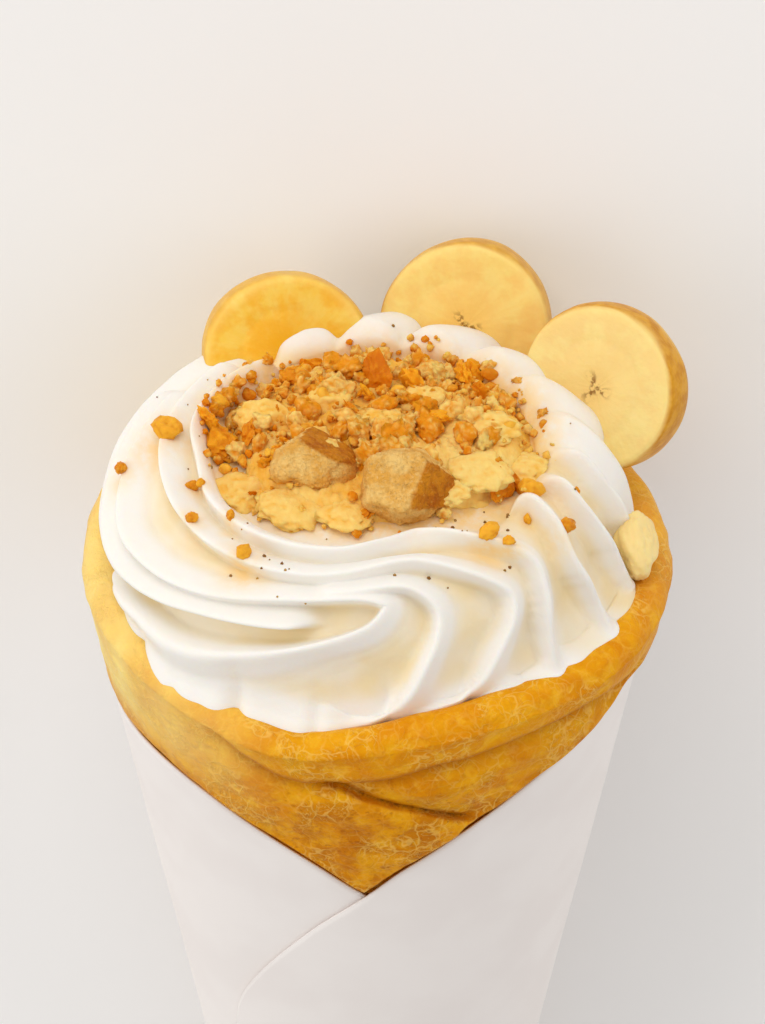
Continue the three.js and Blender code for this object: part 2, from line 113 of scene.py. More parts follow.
# Points round the paper, crepe, cream, slices and heap
PAPER_COLUMNS = 340
CREPE_COLUMNS = 500
CREAM_COLUMNS = 460
CREAM_ROWS = 200
SLICE_COLUMNS = 120
HEAP_COLUMNS = 300

# How light sinks into food: share, reach in metres, and its colour
CREPE_GLOW = (0.1, 0.0012, (1.0, 0.5, 0.15))
CREAM_GLOW = (0.25, 0.0009, (1.0, 0.7, 0.4))
BANANA_GLOW = (0.2, 0.0015, (1.0, 0.6, 0.2))
CRUMB_GLOW = (0.22, 0.0012, (1.0, 0.5, 0.15))

# Camera: place and aim in the upright frame, and focal length in photo pixels
PHOTO_SIZE = (765, 1024)
MOUTH_PIXEL = (370.5, 558.0)
PIXELS_PER_MM = 6.2
CAMERA_DISTANCE = 1500.0
CAMERA_RISE = 40.0

# Soft square lights: direction in the frame, distance and size in metres, power, colour
LIGHTS = {
    "left": ((-0.9, 0.1, 0.5), 1.4, 1.1, 4.9, (1.0, 0.985, 0.965)),
    "top": ((-0.2, 0.9, 0.5), 1.4, 0.8, 6.2, (1.0, 0.985, 0.965)),
    "right": ((0.85, 0.2, 0.5), 1.6, 1.3, 3.7, (1.0, 0.965, 0.955)),
}
ROOM_COLOUR = (1.0, 0.985, 0.97, 1.0)
ROOM_STRENGTH = 0.62
FLOOR_REACH = 4.0

# Upper edge of the sheet: (degrees of roll from the front, height)
SHEET_EDGE = (
    (-50, -68), (-20, -50), (1.5, -38.2), (14, -30.9), (28, -25), (42, -21), (56, -19.8),
    (90, -20.5), (135, -18), (180, -14), (225, -11), (270, -9), (294, -9.1), (308, -12.3),
    (329, -19.3), (352, -31.1), (361.5, -38.2), (375, -48.3), (396, -68.1), (403, -78), (408, -92),
)

# Height of the crepe's lip, and of the two creases between its layers in front
LIP_TOP = (
    (-180, 3.5), (-135, 3.5), (-90, 3), (-60, 2), (-35, 0.3), (-15, -0.5), (0, 2), (15, 4.2),
    (30, 4.6), (50, 3.4), (90, 3), (135, 3.5), (180, 3.5),
)
FIRST_CREASE = (
    (-35, -2.8), (-24, -6.4), (-17, -8.8), (0, -7), (11, -4.8), (30, -2.8), (46, -2.7), (65, -5),
)
SECOND_CREASE = (
    (-20, -8.2), (-10, -9.9), (-1, -12.9), (8, -16.1), (16, -19.1), (25, -21.7), (40, -26),
)

# Crest envelope of the cream from its middle to its foot: radius, height
CREAM_PROFILE = (
    (0, 19.5), (12, 20), (20, 23.5), (27, 26), (35, 23), (41, 16.5), (43.5, 9.5), (42.8, 4), (41.5, 0),
)

# Crests of the piped ridges: (degrees, share of the profile from the middle to the foot)
CRESTS = (
    ((-150, 0.38), (-128, 0.42), (-99, 0.45), (-79, 0.44), (-56, 0.47), (-30, 0.47), (-9, 0.45),
     (14, 0.38), (24, 0.4), (35, 0.47), (42, 0.53), (47, 0.63), (46, 0.72), (43, 0.85), (42, 0.97)),
    ((-140, 0.46), (-110, 0.51), (-77, 0.54), (-46, 0.555), (-17, 0.54), (8, 0.49), (21, 0.52),
     (32, 0.6), (37, 0.68), (34, 0.77), (27, 0.85), (18, 0.96)),
    ((-22, 0.595), (-5, 0.57), (8, 0.56), (15, 0.6), (18, 0.67), (15, 0.77), (9, 0.87), (2, 0.97)),
    ((-125, 0.53), (-105, 0.58), (-88, 0.65), (-74, 0.715), (-57, 0.705), (-40, 0.67), (-21, 0.615),
     (-3, 0.59), (5, 0.62), (1, 0.69), (-11, 0.75), (-26, 0.81), (-44, 0.85), (-62, 0.87), (-78, 0.92)),
    ((-128, 0.6), (-109, 0.64), (-96, 0.7), (-84, 0.78), (-72, 0.8), (-57, 0.77), (-39, 0.72),
     (-20, 0.685), (-10, 0.66)),
    ((-150, 0.56), (-131, 0.66), (-112, 0.76), (-97, 0.85), (-86, 0.93)),
    ((55, 0.41), (62, 0.47), (61, 0.58), (58, 0.7), (60, 0.84), (60, 0.97)),
    ((72, 0.44), (76, 0.52), (73, 0.64), (73, 0.77), (76, 0.93)),
    ((88, 0.45), (90, 0.54), (87, 0.67), (87, 0.8), (90, 0.94)),
    ((104, 0.42), (102, 0.54), (97, 0.68), (97, 0.82), (100, 0.95)),
    ((122, 0.4), (119, 0.52), (113, 0.66), (112, 0.8), (114, 0.95)),
    ((142, 0.4), (138, 0.52), (131, 0.66), (129, 0.8), (130, 0.95)),
    ((163, 0.38), (159, 0.5), (151, 0.64), (147, 0.8), (147, 0.95)),
    ((185, 0.38), (180, 0.5), (172, 0.64), (167, 0.8), (165, 0.95)),
    ((205, 0.42), (199, 0.54), (192, 0.68), (186, 0.82), (183, 0.95)),
)

# Outline of the cream's foot on the lip: (degrees, radius)
CREAM_FOOT = (
    (-180, 43.2), (-120, 43.6), (-95, 43.4), (-81, 41.9), (-68, 43), (-55, 44.8), (-45, 47.2),
    (-36, 46.2), (-29, 44.6), (-13, 44.9), (-2, 42.9), (7, 42.8), (16, 42.9), (25, 43.4), (38, 46),
    (54, 46.8), (70, 45.6), (96, 43), (130, 43.6), (180, 43.2),
)

# Folds up the cream's skirt: (degrees, depth)
SKIRT_FOLDS = (
    (-74, 1), (-58, 0.9), (-44, 0.7), (-30, 1.8), (-12, 1.1), (4, 1.6), (22, 1.2), (35, 0.9),
    (45, 1.6), (64, 1.6), (80, 1.4),
)

# Banana slices: middle, radius, turn of the face to the left, turn of its outline in radians,
# and how ripe, from 0 to 1
SLICES = {
    "banana_left": {"at": (-13.7, 29.4, 18.5), "radius": 14.0, "turn": -6, "phase": 0.4, "ripe": 1.0},
    "banana_middle": {"at": (15.7, 35.9, 19.5), "radius": 14.3, "turn": 9, "phase": 1.3, "ripe": 0.7},
    "banana_right": {"at": (37.7, 19.4, 19.7), "radius": 14.0, "turn": 32, "phase": 2.2, "ripe": 0.5},
}
BANANA_END = {"at": (42.6, -5, 6.4), "size": (3.4, 6.5, 4.2)}

# Biscuit chunks: middle, reach, and their faces, the crust first: (right, up and forward, distance)
BISCUITS = {
    "biscuit_left": {"at": (-9.2, -8.6, 27), "reach": 7.6, "faces": (
        ((0.42, 0.78, 0.35), 3.6), ((-0.25, -0.1, 1), 3.4), ((-0.85, 0.25, 0.3), 5.4),
        ((0.9, -0.1, 0.3), 6.6), ((-0.2, -0.95, 0.2), 4), ((0.35, -0.5, 0.8), 4.3),
        ((-0.5, 0.8, 0.1), 4.6), ((0, 0, -1), 4),
    )},
    "biscuit_right": {"at": (5.6, -14.2, 26.6), "reach": 8.2, "faces": (
        ((0.8, -0.12, 0.6), 5.2), ((-0.22, 0.35, 0.9), 4.8), ((-0.95, 0.1, 0.15), 6.6),
        ((-0.1, 1, 0.1), 5.8), ((-0.35, -0.9, 0.3), 5.6), ((0.45, -0.85, 0.3), 5.4),
        ((0.6, 0.8, 0.1), 6), ((0, 0, -1), 5),
    )},
}

# Heap of crumbs: middle, half sizes, height over it
HEAP = {"at": (1.6, 2.6, 22.6), "half": (25, 21.5), "up": 3.6}

# Piles of crumbs: seed, number of shapes, their fineness and first seed, flat faces, knobs, roughness
PILES = {
    "crumbs_slab": (28, 6, 4, 90, 9, 0.45, 0.13),
    "crumbs_biscuit": (20, 10, 3, 100, 9, 0.5, 0.3),
    "crumbs_toasted": (21, 8, 3, 140, 10, 0.4, 0.3),
    "crumbs_nut": (22, 6, 3, 170, 5, 0.8, 0.05),
    "crumbs_fine": (23, 8, 2, 200, 7, 0.6, 0.25),
    "cream_bits": (25, 6, 3, 230, 7, 0.45, 0.14),
    "cream_specks": (26, 4, 1, 250, 6, 0.9, 0.1),
}

# Looks of crumbs: pale and deep colour, roughness, how knobby, which also sets how much shade is painted
# between the knobs
CRUMB_LOOKS = {
    "crumb_custard": ((1.0, 0.72, 0.23), (0.95, 0.46, 0.035), 0.5, 0.35),
    "crumb_biscuit": ((1.0, 0.69, 0.20), (0.86, 0.31, 0.007), 0.6, 1.0),
    "crumb_toasted": ((0.96, 0.42, 0.015), (0.66, 0.17, 0.001), 0.4, 0.5),
    "crumb_nut": ((0.96, 0.50, 0.05), (0.72, 0.24, 0.004), 0.35, 0.5),
    "crumb_fine": ((1.0, 0.62, 0.12), (0.80, 0.25, 0.003), 0.65, 1.0),
    "bit": ((0.95, 0.46, 0.03), (0.68, 0.20, 0.002), 0.4, 0.5),
    "speck": ((0.60, 0.36, 0.10), (0.25, 0.12, 0.03), 0.6, 1.0),
}

# How many crumbs of each loose kind
BISCUIT_LUMPS = 140
LOOSE_FLAKES = 26
NUT_BITS = 45
GRAINS = 520
SPECKS = 75

# Flat slabs of custard in the heap: (right, back, size, flatness); toasted flakes: (right, back, size)
HEAP_SLABS = (
    (-20.5, -9, 9.5, 0.45), (-12.5, -13.5, 11, 0.4), (-4, -16, 8, 0.4), (17, -8, 10, 0.35),
    (19, 2, 9, 0.35), (12, -13, 7, 0.4), (-17, 5, 8, 0.6), (-6, 8, 7, 0.7), (2, 2, 7, 0.7),
    (9, 8, 7, 0.7), (-9, -2, 7, 0.6), (24, -3, 7, 0.4),
)
HEAP_FLAKES = (
    (1, 13, 5.4), (6.5, 12, 4.4), (15, 14.5, 4.4), (17.5, 11, 3.2), (-12.5, 15, 3.2), (-19.5, 1, 3.6),
    (20.5, -9, 5.2), (23, -7, 3.4), (11, 3, 4), (-3, 4.5, 3.4), (-24, 1, 6), (-26, 5, 4.5), (-9, 22, 4),
    (-1, -17, 3.4), (17, 20, 4),
)

# Bits scattered over the cream: (degrees, share of the profile, size)
SCATTER = (
    (-95, 0.52, 4.6), (-73, 0.5, 2.3), (-57, 0.54, 2.4), (-37, 0.54, 3.2), (40, 0.49, 3.4),
    (62, 0.62, 2.9), (68, 0.47, 4.4), (135, 0.36, 3.2), (-111, 0.42, 3.2), (-88, 0.65, 2.4),
    (59, 0.52, 1.6), (77, 0.6, 1.4), (43, 0.54, 2.2), (-126, 0.38, 2.4), (-150, 0.36, 2.6),
    (108, 0.38, 2.2), (160, 0.37, 2.2), (-66, 0.46, 1.6), (-48, 0.47, 1.8), (90, 0.42, 2),
)


# Curves and noise

def ease(value):
    t = np.clip(value, 0.0, 1.0)
    return t * t * (3 - 2 * t)


def mix(a, b, share):
    return a + (b - a) * share


def through(pairs, x):
    """A smooth curve through (position, value) pairs, level beyond both ends."""
    xs = np.array([pair[0] for pair in pairs], float)
    ys = np.array([pair[1] for pair in pairs], float)
    before = np.maximum(np.arange(len(xs)) - 1, 0)
    after = np.minimum(np.arange(len(xs)) + 1, len(xs) - 1)
    slopes = (ys[after] - ys[before]) / (xs[after] - xs[before])
    x = np.asarray(x, float)
    i = np.clip(np.searchsorted(xs, x) - 1, 0, len(xs) - 2)
    width = xs[i + 1] - xs[i]
    t = np.clip((x - xs[i]) / width, 0.0, 1.0)
    level = mix(ys[i], ys[i + 1], t * t * (3 - 2 * t))
    return level + width * t * (1 - t) * ((1 - t) * slopes[i] - t * slopes[i + 1])


def spline(points, steps):
    """Points of a uniform Catmull-Rom spline, with its ends doubled."""
    spots = np.array(points, float)
    ends = np.vstack([spots[:1], spots, spots[-1:]])
    t = np.linspace(0, 1, steps, endpoint=False)[:, None]
    runs = []
    for a, b, c, d in zip(ends[:-3], ends[1:-2], ends[2:-1], ends[3:]):
        v0 = (c - a) * 0.5
        v1 = (d - b) * 0.5
        cubic = (2 * b - 2 * c + v0 + v1) * t ** 3
        square = (3 * c - 3 * b - 2 * v0 - v1) * t ** 2
        runs.append(cubic + square + v0 * t + b)
    return np.vstack(runs + [spots[-1:]])


def value_noise(points, size, seed):
    """Smooth noise from -1 to 1 whose features are about that size."""
    p = np.asarray(points, float) / size
    cell = np.floor(p).astype(np.int64)
    t = p - cell
    t = t * t * (3 - 2 * t)
    total = np.zeros(p.shape[:-1])
    for corner in np.ndindex(2, 2, 2):
        spot = cell + np.array(corner)
        code = spot[..., 0] * 374761393 + spot[..., 1] * 668265263
        code = code + spot[..., 2] * 1440662683 + seed * 97471
        code = (code ^ (code >> 13)) * 1274126177
        code = (code ^ (code >> 16)) & 0xFFFFFF
        weight = np.prod(np.where(np.array(corner) == 1, t, 1 - t), axis=-1)
        total += weight * (code / 0x7FFFFF - 1)
    return total


def fractal(points, noise):
    """Noise of a size with finer noise on it, each octave half as large and half as strong."""
    strength, size, octaves, seed = noise
    total = 0.0
    for octave in range(octaves):
        total = total + value_noise(points, size / 2 ** octave, seed + octave) / 2 ** octave
    return strength * total


# Places

def unit(vectors):
    return vectors / np.linalg.norm(vectors, axis=-1, keepdims=True)


def from_axis(points):
    return np.linalg.norm(points[..., :2], axis=-1)


def polar(angle, r, z):
    turn = np.radians(angle)
    return np.stack(np.broadcast_arrays(r * np.sin(turn), -r * np.cos(turn), z), axis=-1)


def cone_radius(z):
    return MOUTH_R + SLOPE * z


def roll_inset(roll):
    """How far the rolled sheet lies inside the cone at an angle of roll."""
    return ROLL_STEP * (ROLL_END - roll) / 360


FLOOR = (MOUTH_R - roll_inset(180)) * math.cos(LEAN) - PRESS


def pressed(points, clearance):
    """Points beyond the floor, or nearer to it than the clearance, pressed back level with it."""
    beyond = points[..., 1] * math.cos(LEAN) - points[..., 2] * math.sin(LEAN) - (FLOOR - clearance)
    beyond = np.maximum(beyond, 0.0)
    flat = points.copy()
    flat[..., 1] -= beyond * math.cos(LEAN)
    flat[..., 2] += beyond * math.sin(LEAN)
    return flat


def turned_down(points):
    """Upright points turned onto their back, in millimetres over the floor."""
    p = np.asarray(points, float)
    x = p[..., 0]
    y = p[..., 1] * math.sin(LEAN) + p[..., 2] * math.cos(LEAN)
    z = FLOOR - (p[..., 1] * math.cos(LEAN) - p[..., 2] * math.sin(LEAN))
    return np.stack([x, y, z], axis=-1)


def lay(points):
    """Upright millimetres to the frame's metres."""
    return (turned_down(points) + SHIFT) * MM


def sheet_edge(roll):
    return through(SHEET_EDGE, roll)


def sleeve_edge(angle):
    """The higher of the sheet's two edges where its ends overlap."""
    roll = -np.asarray(angle, float)
    best = np.full(roll.shape, -1000.0)
    for turn in (0, 360, 720):
        here = (roll + turn >= ROLL_START) & (roll + turn <= ROLL_END)
        best = np.where(here, np.maximum(best, sheet_edge(roll + turn)), best)
    return best


def paper_face(rolls, downs, depth):
    """A face of the rolled sheet, down to its foot: rows down, columns round."""
    roll, down = np.meshgrid(rolls, downs)
    inset = roll_inset(roll) + depth
    z = mix(sheet_edge(roll), -LENGTH + inset, down)
    return pressed(polar(-roll, cone_radius(z) - inset, z), depth)


def frame_shift():
    """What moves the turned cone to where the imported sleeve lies."""
    face = turned_down(paper_face(np.linspace(ROLL_START, ROLL_END, 69), (0, 0.5, 1), 0.0)).reshape(-1, 3)
    low, high = (np.array(corner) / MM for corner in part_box("paper"))
    middle = (face.min(axis=0) + face.max(axis=0)) / 2
    shift = (low + high) / 2 - middle
    return np.array([shift[0], shift[1], 0.0])


SHIFT = frame_shift()


# Meshes

def grid_faces(rows, columns, closed):
    """Quads of a grid of points, rows first, facing out where columns run to the right."""
    steps = columns if closed else columns - 1
    row, column = np.meshgrid(np.arange(rows - 1), np.arange(steps), indexing="ij")
    after = (column + 1) % columns
    quads = np.stack([
        row * columns + column, (row + 1) * columns + column,
        (row + 1) * columns + after, row * columns + after,
    ], axis=-1)
    return quads.reshape(-1, 4)


def new_object(name, points, faces, material, smooth=True):
    mesh = bpy.data.meshes.new(name)
    mesh.from_pydata([tuple(p) for p in points], [], [tuple(int(i) for i in f) for f in faces])
    mesh.validate()
    mesh.update()
    mesh.polygons.foreach_set("use_smooth", [smooth] * len(mesh.polygons))
    mesh.materials.append(material)
    piece = bpy.data.objects.new(name, mesh)
    bpy.context.scene.collection.objects.link(piece)
    return piece


def add_values(piece, name, values):
    layer = piece.data.attributes.new(name, "FLOAT", "POINT")
    layer.data.foreach_set("value", np.asarray(values, np.float32).ravel())


def add_vectors(piece, name, values):
    layer = piece.data.attributes.new(name, "FLOAT_VECTOR", "POINT")
    layer.data.foreach_set("vector", np.asarray(values, np.float32).ravel())


def ring_body(name, grid, top, bottom, material):
    """A closed body from a grid of rings between a top and a bottom pole."""
    rows, columns = grid.shape[:2]
    points = np.vstack([grid.reshape(-1, 3), [top], [bottom]])
    faces = [tuple(f) for f in grid_faces(rows, columns, True)]
    last = (rows - 1) * columns
    for i in range(columns):
        j = (i + 1) % columns
        faces.append((rows * columns, i, j))
        faces.append((rows * columns + 1, last + j, last + i))
    return new_object(name, lay(points), faces, material)


def add_ring_values(piece, name, values):
    """Values of a ring body's grid, and 0 at its two poles."""
    add_values(piece, name, np.concatenate([np.asarray(values).ravel(), [0, 0]]))


def ride(piece, slot, *nodes):
    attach(piece, "root")
    if nodes:
        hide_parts(*nodes)


# Materials

class Nodes:
    """A material's node tree, built by short calls."""

    def __init__(self, name):
        self.material = bpy.data.materials.new(name)
        self.material.use_nodes = True
        self.tree = self.material.node_tree
        self.place = self.add("ShaderNodeTexCoord", {}).outputs["Object"]

    def add(self, kind, inputs, **settings):
        """A node of a kind, its inputs linked or set."""
        node = self.tree.nodes.new(kind)
        for key, value in settings.items():
            setattr(node, key, value)
        self.feed(node, inputs)
        return node

    def feed(self, node, inputs):
        for key, value in inputs.items():
            socket = node.inputs[key]
            if isinstance(value, bpy.types.NodeSocket):
                self.tree.links.new(value, socket)
            elif socket.type == "RGBA":
                socket.default_value = (*value, 1.0)
            else:
                socket.default_value = value

    def noise_node(self, place, scale, detail, **inputs):
        inputs = {"Vector": place, "Scale": scale, "Detail": detail, **inputs}
        return self.add("ShaderNodeTexNoise", inputs)

    def noise(self, size_mm, detail=3.0, rough=0.5, warp=0.0):
        node = self.noise_node(self.place, 1 / (size_mm * MM), detail, Roughness=rough, Distortion=warp)
        return node.outputs["Fac"]

    def warped(self, size_mm, amount_mm):
        """Places pushed about by noise, for patterns that aren't regular."""
        push = self.noise_node(self.place, 1 / (size_mm * MM), 2.0).outputs["Color"]
        inputs = {0: push, 1: (amount_mm * MM,) * 3, 2: self.place}
        return self.add("ShaderNodeVectorMath", inputs, operation="MULTIPLY_ADD").outputs["Vector"]

    def cells(self, size_mm, place, feature="DISTANCE_TO_EDGE"):
        inputs = {"Vector": place, "Scale": 1 / (size_mm * MM)}
        return self.add("ShaderNodeTexVoronoi", inputs, feature=feature).outputs["Distance"]

    def value(self, name, output="Fac"):
        return self.add("ShaderNodeAttribute", {}, attribute_name=name).outputs[output]

    def pair(self, x, y):
        return self.add("ShaderNodeCombineXYZ", {0: x, 1: y}).outputs[0]

    def math(self, operation, a, b=0.0, clamp=False):
        return self.add("ShaderNodeMath", {0: a, 1: b}, operation=operation, use_clamp=clamp).outputs[0]

    def times(self, a, b, clamp=False):
        return self.math("MULTIPLY", a, b, clamp)

    def plus(self, a, b):
        return self.math("ADD", a, b)

    def minus(self, a, b):
        return self.math("SUBTRACT", a, b)

    def larger(self, a, b):
        return self.math("MAXIMUM", a, b)

    def spread(self, value, low, high, to_low=0.0, to_high=1.0):
        """A value eased from one range to another."""
        inputs = {"Value": value, "From Min": low, "From Max": high, "To Min": to_low, "To Max": to_high}
        node = self.add("ShaderNodeMapRange", inputs, interpolation_type="SMOOTHSTEP")
        return node.outputs["Result"]

    def threads(self, noise, middle, width):
        """Thin threads along the lines where a noise passes its middle."""
        return self.spread(self.math("ABSOLUTE", self.minus(noise, middle)), 0.0, width, 1.0, 0.0)

    def blend(self, share, a, b):
        return self.add("ShaderNodeMix", {0: share, 6: a, 7: b}, data_type="RGBA").outputs[2]

    def mottled(self, noise, low, high, a, b):
        """One colour where a noise is low, another where it is high."""
        return self.blend(self.spread(noise, low, high), a, b)

    def bump(self, height, depth_mm, below=None):
        inputs = {"Height": height, "Distance": depth_mm * MM}
        if below is not None:
            inputs["Normal"] = below
        return self.add("ShaderNodeBump", inputs).outputs["Normal"]

    def finish(self, colour, rough, normal, shine, glow=(0.0,)):
        inputs = {"Base Color": colour, "Roughness": rough, "Specular IOR Level": shine}
        if normal is not None:
            inputs["Normal"] = normal
        inputs.update(zip(("Subsurface Weight", "Subsurface Scale", "Subsurface Radius"), glow))
        self.feed(self.tree.nodes["Principled BSDF"], inputs)
        return self.material


def paper_material():
    n = Nodes("paper")
    fibre = n.noise(0.35, 4.0, 0.6)
    colour = n.mottled(n.noise(14.0, 2.0), 0.35, 0.65, (0.905, 0.85, 0.82), (0.93, 0.88, 0.85))
    return n.finish(colour, n.spread(fibre, 0.3, 0.7, 0.62, 0.75), n.bump(fibre, 0.02), 0.3)


def crepe_material():
    n = Nodes("crepe")
    patches = n.noise(8.0, 4.0, 0.55, 0.6)
    spots = n.noise(3.0, 3.0, 0.6, 0.3)
    fine = n.noise(0.9, 3.0, 0.6)
    colour = n.mottled(patches, 0.3, 0.7, (0.72, 0.25, 0.001), (0.83, 0.375, 0.004))
    colour = n.blend(n.times(n.spread(spots, 0.5, 0.7), 0.35), colour, (0.70, 0.23, 0.002))
    colour = n.blend(n.times(n.spread(spots, 0.48, 0.32), 0.35), colour, (0.96, 0.55, 0.03))
    low = n.value("low")
    toasted = n.times(low, n.spread(n.noise(4.5, 4.0, 0.65), 0.4, 0.62))
    colour = n.blend(n.times(toasted, 0.75), colour, (0.52, 0.15, 0.001))
    speckles = n.times(low, n.spread(n.noise(1.5, 2.5, 0.55), 0.6, 0.7))
    colour = n.blend(n.times(speckles, 0.6), colour, (0.40, 0.11, 0.002))
    # painted light: the crepe paler where the lamps fall, on its left and a little on its right
    colour = n.blend(n.value("pale"), colour, (1.0, 0.80, 0.28))
    cells = n.spread(n.cells(3.6, n.warped(4.0, 5.0)), 0.0, 0.07, 1.0, 0.0)
    threads = n.threads(n.noise(5.5, 2.5, 0.6, 1.6), 0.5, 0.022)
    small_threads = n.threads(n.noise(2.4, 2.0, 0.6, 1.2), 0.52, 0.035)
    here = n.spread(n.noise(9.0, 2.0), 0.4, 0.6)
    lace = n.times(n.larger(cells, threads), n.spread(here, 0.0, 1.0, 0.25, 1.0))
    lace = n.larger(lace, n.times(small_threads, n.spread(here, 0.3, 0.9, 0.1, 0.6)))
    colour = n.blend(n.times(lace, 0.45), colour, (1.0, 0.66, 0.16))
    # painted shade: the crepe's folds darkened to brown, where shade falls in them
    colour = n.blend(n.times(n.value("fold_shade"), 0.65), colour, (0.44, 0.12, 0.0))
    relief = n.plus(n.times(lace, 0.35), n.times(fine, 0.7))
    normal = n.bump(relief, 0.2, n.bump(spots, 0.6))
    rough = n.spread(fine, 0.3, 0.7, 0.36, 0.52)
    return n.finish(colour, rough, normal, 0.06, CREPE_GLOW)


def cream_material():
    n = Nodes("cream")
    # painted shade: a warm yellow tint in the valleys between the ridges, where shade falls, in patches
    valley_shade = n.spread(n.value("valley_shade"), 0.4, 1.0)
    warm_shade = n.times(valley_shade, n.spread(n.noise(9.0, 2.0), 0.3, 0.65, 0.5, 0.9))
    colour = n.blend(warm_shade, (0.91, 0.88, 0.825), (0.86, 0.69, 0.38))
    grain = n.spread(n.noise(2.2, 4.0, 0.6), 0.25, 0.6, 0.35, 1.0)
    colour = n.blend(n.times(n.value("dust"), grain, True), colour, (0.95, 0.64, 0.20))
    return n.finish(colour, 0.42, n.bump(n.noise(0.9, 3.0, 0.55), 0.07), 0.2, CREAM_GLOW)


def slice_place(n):
    """The way out from a slice's middle, as a share of its radius, and the angle round it."""
    parts = n.add("ShaderNodeSeparateXYZ", {0: n.value("slice", "Vector")})
    x, y = parts.outputs[0], parts.outputs[1]
    out = n.add("ShaderNodeVectorMath", {0: n.pair(x, y)}, operation="LENGTH").outputs["Value"]
    return out, n.math("ARCTAN2", y, x)


def banana_material():
    n = Nodes("banana")
    out, turn = slice_place(n)
    lobes = n.math("COSINE", n.times(turn, 3.0))
    ray_place = n.pair(n.times(turn, 3.2), n.times(out, 0.9))
    rays = n.noise_node(ray_place, 3.0, 3.0).outputs["Fac"]
    edge = n.plus(out, n.times(lobes, 0.03))
    ring = n.times(n.spread(edge, 0.30, 0.5), n.spread(edge, 0.62, 0.5))
    rim = n.spread(edge, 0.78, 0.96)
    ripe = n.value("ripe")
    colour = n.mottled(rays, 0.3, 0.7, (0.94, 0.62, 0.085), (0.95, 0.67, 0.13))
    cloud = n.spread(n.noise(5.0, 3.0, 0.6), 0.38, 0.6, 0.1, 0.7)
    colour = n.blend(cloud, colour, (0.91, 0.44, 0.012))
    colour = n.blend(n.spread(out, 0.15, 0.6, 0.8, 0.0), colour, (0.92, 0.47, 0.015))
    colour = n.blend(n.times(ring, 0.25), colour, (0.91, 0.47, 0.03))
    colour = n.blend(ripe, (0.96, 0.84, 0.45), colour)
    colour = n.blend(n.times(rim, 0.35), colour, (0.98, 0.74, 0.25))
    # the slice's side wall: darker orange, partly its own colour and partly painted shade
    side = n.value("side")
    skin = n.mottled(n.noise(2.4, 3.0), 0.35, 0.65, (0.62, 0.25, 0.003), (0.76, 0.37, 0.02))
    colour = n.blend(side, colour, skin)
    arms = n.times(n.spread(lobes, 0.1, 0.85), n.spread(out, 0.08, 0.25, 1.0, 0.0))
    seeds = n.larger(arms, n.spread(out, 0.03, 0.09, 1.0, 0.0))
    dark = n.times(seeds, n.spread(n.noise(0.9, 2.0), 0.42, 0.56))
    dark = n.times(dark, n.minus(n.spread(ripe, 0.7, 1.0, 1.0, 0.0), side))
    halo = n.times(n.spread(out, 0.06, 0.3, 0.3, 0.0), n.minus(1.0, ripe))
    colour = n.blend(halo, colour, (0.80, 0.42, 0.06))
    colour = n.blend(n.times(dark, 0.85), colour, (0.24, 0.085, 0.01))
    relief = n.plus(n.times(rays, 0.25), n.times(n.noise(0.8, 3.0), 0.6))
    return n.finish(colour, 0.4, n.bump(relief, 0.2), 0.18, BANANA_GLOW)


def biscuit_material():
    n = Nodes("biscuit")
    crust = n.value("crust")
    patches = n.noise(3.2, 3.0, 0.6)
    grain = n.noise(0.55, 4.0, 0.7)
    crumb = n.mottled(patches, 0.35, 0.65, (0.86, 0.42, 0.065), (0.98, 0.62, 0.19))
    crumb = n.blend(n.spread(grain, 0.5, 0.75, 0.0, 0.6), crumb, (0.96, 0.72, 0.34))
    pits = n.spread(n.noise(1.3, 3.0, 0.6), 0.34, 0.5)
    crumb = n.blend(n.times(n.minus(1.0, pits), 0.25), crumb, (0.70, 0.34, 0.05))
    brown = n.mottled(patches, 0.35, 0.65, (0.50, 0.13, 0.001), (0.72, 0.26, 0.005))
    brown = n.blend(n.spread(grain, 0.55, 0.72, 0.0, 0.5), brown, (0.88, 0.48, 0.10))
    colour = n.blend(crust, crumb, brown)
    normal = n.bump(grain, 0.4, n.bump(n.noise(1.4, 3.0, 0.6, 1.5), 0.6))
    return n.finish(colour, 0.65, normal, 0.2)


def crumb_material(name):
    """Knobby crumbs whose colour varies by their own shade, with painted shade making them browner between
    their knobs.
    """
    pale, deep, rough, knobby = CRUMB_LOOKS[name]
    n = Nodes(name)
    shade = n.plus(n.value("shade"), n.times(n.noise(1.6, 3.0, 0.6), 0.7))
    knobs = n.cells(1.2, n.warped(1.4, 0.9), "F1")
    # painted shade: browner between the knobs, away from their middles
    colour = n.mottled(n.plus(shade, n.times(knobs, 1.2 * knobby)), 0.55, 2.0, pale, deep)
    normal = n.bump(n.minus(1.0, knobs), 0.4 * knobby, n.bump(n.noise(0.35, 4.0, 0.7), 0.15))
    return n.finish(colour, rough, normal, 0.12, CRUMB_GLOW)


# Paper

def sheet_side(depth):
    """One side of the sheet, a little wavy, down to its foot and tucked in under it."""
    rolls = np.linspace(ROLL_START, ROLL_END, PAPER_COLUMNS)
    downs = np.concatenate([np.linspace(0, 0.08, 8, endpoint=False), np.linspace(0.08, 1, 40)])
    face = paper_face(rolls, downs, depth)
    wave = fractal(face, PAPER_WAVES) * ease(np.abs(face[..., 2] + LENGTH) / 30)
    face[..., :2] += unit(face[..., :2]) * wave[..., None]
    inset = roll_inset(rolls) + depth
    foot_r = cone_radius(-LENGTH + inset) - inset
    tuck = [pressed(polar(-rolls, mix(TUCK_R, foot_r, share), -LENGTH + inset), depth)
            for share in np.linspace(1, 0, 8)[1:]]
    return np.concatenate([pressed(face, depth), np.array(tuck)])


